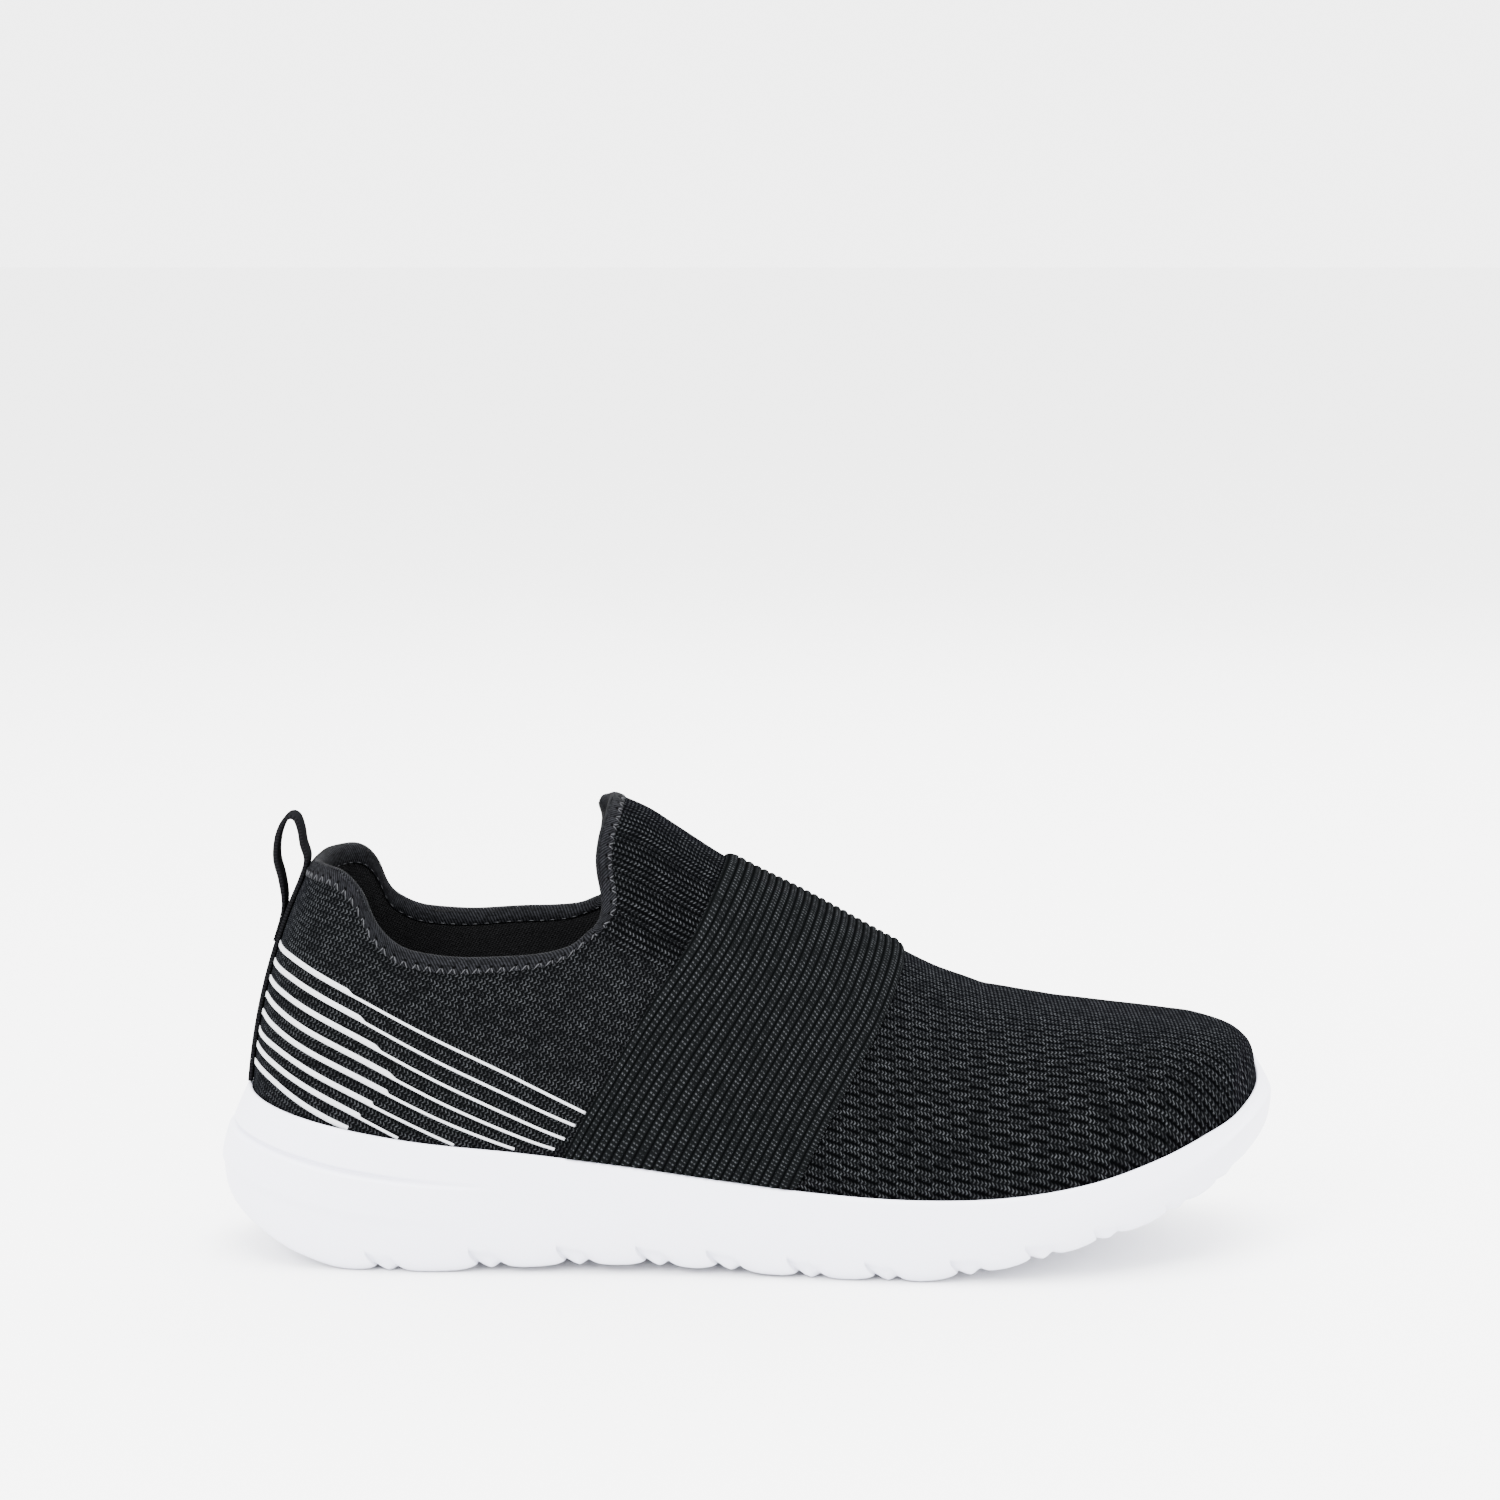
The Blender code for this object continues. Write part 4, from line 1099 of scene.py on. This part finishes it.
def build_loop(colours):
    """One length of webbing: a tape up the heel, a loop over the collar, a tail sewn down."""
    turns = np.array(TURNS)
    at = np.linspace(0, len(turns) - 1, 181)
    padded = np.concatenate([turns[:1] * 2 - turns[1:2], turns, turns[-1:] * 2 - turns[-2:-1]])
    out, height = (smooth_run(padded[:, k], at + 1) for k in (0, 1))
    rim = float(rim_height(np.zeros(1))[0])
    z = rim + (COLLAR_HEIGHT - rim) * height
    middle = heel_back(0, z)
    curl = (heel_back(LOOP_WIDTH / 2, z) - middle) * np.clip(1 - (out - FIT) / LOOP_FREE, 0, 1)
    path = np.stack([middle - out, z], axis=1)
    run = unit(np.gradient(path, axis=0))
    away = np.stack([-run[:, 1], run[:, 0]], axis=1)
    half = LOOP_WIDTH / 2
    thick = LOOP_THICKNESS / 2
    tail = soft_step(len(turns) - 4.0, len(turns) - 1.0, at)
    path = path + away * (0.0007 * tail)[:, None]
    pressed = 1 - 0.55 * tail
    ring = [(across, thick) for across in np.linspace(-half + 0.0003, half - 0.0003, 13)]
    ring += [(half, thick * 0.4), (half, -thick * 0.4)]
    ring += [(across, -thick) for across in np.linspace(half - 0.0003, -half + 0.0003, 13)]
    ring += [(-half, -thick * 0.4), (-half, thick * 0.4)]
    ring.append(ring[0])
    points = np.zeros((len(path), len(ring), 3))
    uvs = np.zeros((len(path), len(ring), 2))
    length = np.concatenate([[0], np.cumsum(np.linalg.norm(np.diff(path, axis=0), axis=1))])
    for number, (across, lift) in enumerate(ring):
        rise = lift * pressed
        points[:, number, 0] = path[:, 0] + away[:, 0] * rise + curl * (across / half) ** 2
        points[:, number, 1] = across
        points[:, number, 2] = path[:, 1] + away[:, 1] * rise
        uvs[:, number, 0] = length
        uvs[:, number, 1] = across
    bm, _ = grid_mesh(points, uvs)
    bmesh.ops.remove_doubles(bm, verts=bm.verts, dist=ON_SKIN)
    bmesh.ops.holes_fill(bm, edges=bm.edges, sides=len(ring))
    bmesh.ops.recalc_face_normals(bm, faces=bm.faces)
    add_piece("webbing_loop", bm, webbing_finish(colours), "webbing_black", "heel_loop")


def stripe_points(side, table, step, sizes):
    """A stripe's strip of points over the heel: its two edges and its middle."""
    places, heights = np.array(table).T
    place = np.linspace(places[0], places[-1], 240)
    z = np.polyval(np.polyfit(places, heights, 5), place)
    loop = around(side, place)
    middle = last_point(loop, height_share(loop, z))
    run = unit(np.gradient(middle, axis=0))
    nudge = last_point(loop, height_share(loop, z + 0.001))
    up = nudge - middle
    up = unit(up - run * np.sum(up * run, axis=1, keepdims=True))
    out = unit(np.cross(run, up)) * side * -1
    share = np.linspace(0, 1, len(place))
    step_at, half_step = step
    cut = np.clip((share - step_at + half_step) / (2 * half_step), 0, 1)
    width = sizes.stripe_broad + (sizes.stripe_thin - sizes.stripe_broad) * cut
    bottom = -sizes.stripe_broad / 2
    start = np.clip(share / 0.015, 0, 1)
    rows = []
    for across in (0.0, 0.5, 1.0):
        lift = bottom + width * across * start
        rows.append(middle + up * lift[:, None] + out * ON_SKIN)
    return np.stack(rows), out


def build_stripes(sizes, colours):
    """Eight slim stripes of film on each side of the heel, each with a stepped width."""
    whole = bmesh.new()
    mesh = bpy.data.meshes.new("stripe_draft")
    for side in (LATERAL, MEDIAL):
        for table, step in zip(STRIPES, STRIPE_STEPS):
            points, out = stripe_points(side, table, step, sizes)
            bm, _ = grid_mesh(points + out[None] * sizes.stripe_rise)
            face_out(bm, (-0.05, 0.0, 0.05))
            bm.to_mesh(mesh)
            bm.free()
            whole.from_mesh(mesh)
    bpy.data.meshes.remove(mesh)
    piece = add_piece("heel_stripes", whole, film_finish(colours), "foam_white")
    thicken(piece, sizes.stripe_rise * 1.5, -1.0)


TREAD_LIFT = (
    (-9.0, 0.0), (-4.5, 0.15), (-2.0, 0.55), (-0.6, 1.15), (0.0, 1.6), (0.6, 1.7), (1.4, 1.2),
    (2.4, 0.45), (3.8, 0.2), (5.0, 0.55), (6.2, 1.35), (6.9, 1.4), (7.8, 0.75), (9.5, 0.2),
    (13.0, 0.0),
)
LUG_REACH = 0.0062
LUG_LEAN = 0.0024


def lug_offsets():
    """Finely spaced offsets from a lug's step at which the sole gets a column."""
    return np.array(
        [-6.0, -3.0, -1.5, -0.7, -0.3, -0.1, 0.0, 0.12, 0.3, 0.6, 1.0, 1.5, 2.0, 2.6, 3.2, 3.8,
         4.4, 5.0, 5.6, 6.2, 6.6, 7.0, 7.5, 8.2, 9.2, 10.5, 12.5]
    ) / 1000


def sole_columns():
    """Section places of the sole's columns on one side, and how far each lies from the lug
    step before it."""
    feet = np.array(LUG_STEPS) * LENGTH
    fixed = np.concatenate([foot + lug_offsets() for foot in feet])
    spread = np.arange(0, LENGTH + 1e-9, 0.0016)
    clear = [x for x in spread if np.min(np.abs(fixed - x)) > 0.0008]
    along = np.unique(np.concatenate([fixed[fixed < LENGTH * 0.993], clear]))
    heel = np.linspace(0, 2.2, 26)
    toe = np.linspace(14.6, LAST_SECTION, 30)
    places = place_at(along / LENGTH)
    places = places[(places > heel[-1] + 0.03) & (places < toe[0] - 0.03)]
    return np.concatenate([heel, places, toe])


def lug_relief(along, rise):
    """How deep the scoop ahead of each lug cuts in at this place and height on the side."""
    cut = np.zeros(np.broadcast(along, rise).shape)
    lift = np.zeros_like(cut)
    offsets, lifts = np.array(TREAD_LIFT).T
    for number, step in enumerate(LUG_STEPS):
        size = (0.85, 1, 1, 1, 1, 0.95, 0.9, 0.9, 0.85, 0.7, 0.6, 0.45)[number]
        ahead = along * LENGTH - step * LENGTH
        top = LUG_REACH * size * (1 - 0.35 * soft_step(0.0, 0.012, ahead))
        depth = soft_step(0.0, 0.0016, top - rise)
        start = (ahead > 0.00005).astype(float)
        fade = 1 - soft_step(0.002, 0.013, ahead)
        nub = 0.7 * np.exp(-(((ahead - 0.0042) / 0.0012) ** 2)) * (1 - soft_step(0.0, 0.003, rise))
        cut = np.maximum(cut, size * start * fade * depth * (1 - nub))
        lift += size * np.interp(ahead * 1000, offsets, lifts) / 1000
    return cut, lift


def build_sole(sizes, colours):
    """The moulded sole: scooped lugs along its side, a parting step round the heel, a rim
    that cups the upper and a grooved tread."""
    places = sole_columns()
    loop = np.concatenate([places, 2 * LAST_SECTION - places[-2:0:-1]])
    half = len(places) - 1
    low = np.linspace(0, 1, 13) ** 1.15
    high = np.concatenate(
        [np.linspace(0, 0.46, 10)[1:], np.linspace(0.48, 0.62, 15), np.linspace(0.65, 1, 9)]
    )
    ground = ground_height(loop)
    bulge = RIM_HEIGHT * shared_value(SECTIONS, "bulge", loop)
    bumper = np.exp(-(((loop - 17.0) / 0.55) ** 2))
    rim = rim_height(loop) + 0.0055 * np.exp(-(((loop - 16.7) / 0.7) ** 2))
    bed = bed_height(loop)
    along = shared_value(SECTIONS, "along", loop)
    inward = outline_inward(loop)
    rim_foot = last_point(loop, height_share(loop, rim))
    top_inner = rim_foot[:, :2] - inward * FIT
    top_outer = rim_foot[:, :2] - inward * (FIT + RIM_LIP + 0.0015 * bumper)[:, None]
    place = np.minimum(loop, 2 * LAST_SECTION - loop)
    rings = []
    for share in low:
        height = ground + (bulge - ground) * share
        rise = height - ground
        back = LUG_LEAN * np.sin(np.pi / 2 * np.clip(rise / (LUG_REACH * 0.85), 0, 1)) ** 1.2
        back *= soft_step(0.5, 3.5, place) * (1 - soft_step(14.5, 15.8, place))
        cut, lift = lug_relief(along, rise)
        tuck = TREAD_INSET * (1 - np.sqrt(np.clip(1 - (1 - share) ** 2.4, 0, 1)))
        moved_places = place_at(along - back / LENGTH)
        moved_places = np.where(back > 0, moved_places, place)
        moved = np.where(loop <= LAST_SECTION, moved_places, 2 * LAST_SECTION - moved_places)
        flat = inset(moved, tuck + sizes.lug_step * cut - 0.0045 * bumper * share**0.7)
        rings.append(np.column_stack([flat, height + lift * (1 - share) ** 1.5]))
    fade = np.clip((PARTING_END - along) / (PARTING_END - PARTING_FULL), 0, 1)
    edge = outline(loop)
    shift = LUG_LEAN * soft_step(0.5, 3.5, place) * (1 - soft_step(14.5, 15.8, place))
    for share in high:
        height = bulge + (rim - 0.0010 - bulge) * share
        lean = share**1.55
        ease = shift * (1 - soft_step(0.0, 0.8, share))
        moved_places = np.where(shift > 0, place_at(along - ease / LENGTH), place)
        moved = np.where(loop <= LAST_SECTION, moved_places, 2 * LAST_SECTION - moved_places)
        pushed = edge - inward * (0.0045 * bumper)[:, None]
        flat = outline(moved) + (pushed - edge) + (top_outer - pushed) * lean
        ledge = 0.0014 * fade * np.exp(-(((share - PARTING_SHARE) / 0.03) ** 2))
        ledge -= 0.0007 * fade * soft_step(PARTING_SHARE, PARTING_SHARE - 0.06, share)
        flat = flat + inward * ledge[:, None]
        rings.append(np.column_stack([flat, height]))
    for across, drop in ((0.15, 0.0005), (0.4, 0.0001), (0.7, 0.0), (0.9, 0.0001), (1.0, 0.0004)):
        flat = top_outer + (top_inner - top_outer) * across
        rings.append(np.column_stack([flat, rim - drop]))
    for share in (0.8, 0.6, 0.4, 0.2, 0.0):
        cup = last_point(loop, height_share(loop, bed + (rim - bed) * share))
        rings.append(np.column_stack([cup[:, :2] - inward * FIT, cup[:, 2]]))
    points = np.stack(rings)
    points = np.concatenate([points, points[:, :1]], axis=1)
    whole, _ = grid_mesh(points)
    mesh = bpy.data.meshes.new("sole_draft")
    for ring, count in ((rings[0], 27), (rings[-1], 9)):
        shares = np.linspace(0, 1, count)[:, None, None]
        lateral = ring[: half + 1]
        medial = np.concatenate([ring[:1], ring[half:][::-1]])
        sheet, _ = grid_mesh(lateral[None] * (1 - shares) + medial[None] * shares)
        sheet.to_mesh(mesh)
        sheet.free()
        whole.from_mesh(mesh)
    bpy.data.meshes.remove(mesh)
    bmesh.ops.remove_doubles(whole, verts=whole.verts, dist=ON_SKIN)
    bmesh.ops.recalc_face_normals(whole, faces=whole.faces)
    add_piece("moulded_sole", whole, foam_finish(colours), "foam_white", "sole")


def build_footbed(colours):
    """The footbed inside the upper's wall, a little dished toward its middle."""
    places = np.linspace(0, LAST_SECTION, 121)
    edge = UPPER_WALL + INSOLE_EDGE_GAP / 4
    lines = []
    for side in (LATERAL, MEDIAL):
        loop = around(side, places)
        flat = inset(loop, shared_value(SECTIONS, "reach", loop) + edge)
        lines.append(np.column_stack([flat, bed_height(loop) + FIT + INSOLE_THICKNESS]))
    shares = np.linspace(0, 1, 25)[:, None, None]
    points = lines[0][None] * (1 - shares) + lines[1][None] * shares
    dish = np.abs(2 * shares[..., 0] - 1) ** 3
    points[..., 2] += 0.0009 * dish - 0.0006 - 0.0010 * (dish > 0.9)
    uvs = points[..., :2].copy()
    bm, _ = grid_mesh(points, uvs)
    bmesh.ops.remove_doubles(bm, verts=bm.verts, dist=ON_SKIN)
    face_out(bm, (0.0, 0.0, -0.3))
    piece = add_piece("footbed", bm, lining_finish(colours), "lining_black", "insole")
    thicken(piece, 0.0028, -1.0)


def build_stage(colours):
    """A pale floor, soft studio lights and the camera at the shoe's side."""
    bm = bmesh.new()
    bmesh.ops.create_grid(bm, x_segments=8, y_segments=8, size=40.0)
    mesh = bpy.data.meshes.new("floor")
    bm.to_mesh(mesh)
    bm.free()
    floor = bpy.data.objects.new("floor", mesh)
    floor.data.materials.append(floor_finish(colours))
    bpy.context.scene.collection.objects.link(floor)
    world = bpy.data.worlds.new("studio")
    world.use_nodes = True
    sky = world.node_tree.nodes["Background"]
    sky.inputs["Color"].default_value = (1.0, 1.0, 1.0, 1)
    sky.inputs["Strength"].default_value = 4.8
    bpy.context.scene.world = world
    lights = (
        ("top", (0.1, -0.1, 1.9), 110.0, 1.8),
        ("key", (-1.1, -1.5, 1.3), 60.0, 0.8),
        ("back", (0.4, 1.3, 1.2), 25.0, 1.2),
    )
    for name, place, energy, size in lights:
        light = bpy.data.lights.new(name, "AREA")
        light.energy = energy
        light.size = size
        lamp = bpy.data.objects.new(name, light)
        lamp.location = place
        aim = Vector((0.0, 0.0, 0.05)) - Vector(place)
        lamp.rotation_euler = aim.to_track_quat("-Z", "Y").to_euler()
        bpy.context.scene.collection.objects.link(lamp)
    pitch = np.radians(7.0)
    view = Vector((0.0, np.cos(pitch), -np.sin(pitch)))
    lens = bpy.data.cameras.new("side_view")
    lens.lens = 100.0
    lens.sensor_width = 36.0
    camera = bpy.data.objects.new("side_view", lens)
    camera.location = Vector((0.0, 0.0, 0.1401)) - view * 1.171
    camera.rotation_euler = view.to_track_quat("-Z", "Y").to_euler()
    bpy.context.scene.collection.objects.link(camera)
    bpy.context.scene.camera = camera


# Operators and panel

def settings():
    scene = bpy.context.scene
    return scene.sneaker_sizes, scene.sneaker_colours


class SNEAKER_OT_sole(bpy.types.Operator):
    """Build the moulded sole"""

    bl_idname = "sneaker.sole"
    bl_label = "Moulded sole"

    def execute(self, context):
        build_sole(*settings())
        return {"FINISHED"}


class SNEAKER_OT_footbed(bpy.types.Operator):
    """Build the footbed inside the shoe"""

    bl_idname = "sneaker.footbed"
    bl_label = "Footbed"

    def execute(self, context):
        build_footbed(settings()[1])
        return {"FINISHED"}


class SNEAKER_OT_upper(bpy.types.Operator):
    """Build the knitted upper and its padded lining"""

    bl_idname = "sneaker.upper"
    bl_label = "Knitted upper"

    def execute(self, context):
        build_knit(*settings())
        build_lining(*settings())
        return {"FINISHED"}


class SNEAKER_OT_band(bpy.types.Operator):
    """Build the stitched band round the collar"""

    bl_idname = "sneaker.band"
    bl_label = "Collar band"

    def execute(self, context):
        build_band(*settings())
        return {"FINISHED"}


class SNEAKER_OT_strap(bpy.types.Operator):
    """Build the ribbed strap over the instep"""

    bl_idname = "sneaker.strap"
    bl_label = "Ribbed strap"

    def execute(self, context):
        build_strap(*settings())
        return {"FINISHED"}


class SNEAKER_OT_loop(bpy.types.Operator):
    """Build the webbing loop at the heel"""

    bl_idname = "sneaker.loop"
    bl_label = "Heel loop"

    def execute(self, context):
        build_loop(settings()[1])
        return {"FINISHED"}


class SNEAKER_OT_stripes(bpy.types.Operator):
    """Build the stripes on both sides of the heel"""

    bl_idname = "sneaker.stripes"
    bl_label = "Heel stripes"

    def execute(self, context):
        build_stripes(*settings())
        return {"FINISHED"}


class SNEAKER_OT_stage(bpy.types.Operator):
    """Set up the floor, the lights and the camera"""

    bl_idname = "sneaker.stage"
    bl_label = "Stage"

    def execute(self, context):
        build_stage(settings()[1])
        return {"FINISHED"}


OPERATORS = (
    SNEAKER_OT_sole,
    SNEAKER_OT_footbed,
    SNEAKER_OT_upper,
    SNEAKER_OT_band,
    SNEAKER_OT_strap,
    SNEAKER_OT_loop,
    SNEAKER_OT_stripes,
    SNEAKER_OT_stage,
)


class SNEAKER_PT_build(bpy.types.Panel):
    """Lists the pieces of the sneaker"""

    bl_idname = "SNEAKER_PT_build"
    bl_label = "Slip-on sneaker"
    bl_space_type = "VIEW_3D"
    bl_region_type = "UI"
    bl_category = "Sneaker"

    def draw(self, context):
        layout = self.layout
        for group in settings():
            box = layout.box()
            for name in group.bl_rna.properties.keys():
                if name not in ("rna_type", "name"):
                    box.prop(group, name)
        for operator in OPERATORS:
            layout.operator(operator.bl_idname)


CLASSES = (SneakerSizes, SneakerColours, *OPERATORS, SNEAKER_PT_build)


def register():
    for kind in CLASSES:
        bpy.utils.register_class(kind)
    bpy.types.Scene.sneaker_sizes = bpy.props.PointerProperty(type=SneakerSizes)
    bpy.types.Scene.sneaker_colours = bpy.props.PointerProperty(type=SneakerColours)


def unregister():
    del bpy.types.Scene.sneaker_sizes
    del bpy.types.Scene.sneaker_colours
    for kind in reversed(CLASSES):
        bpy.utils.unregister_class(kind)


def main():
    register()
    for operator in OPERATORS:
        group, name = operator.bl_idname.split(".")
        getattr(getattr(bpy.ops, group), name)()


if __name__ == "__main__":
    main()
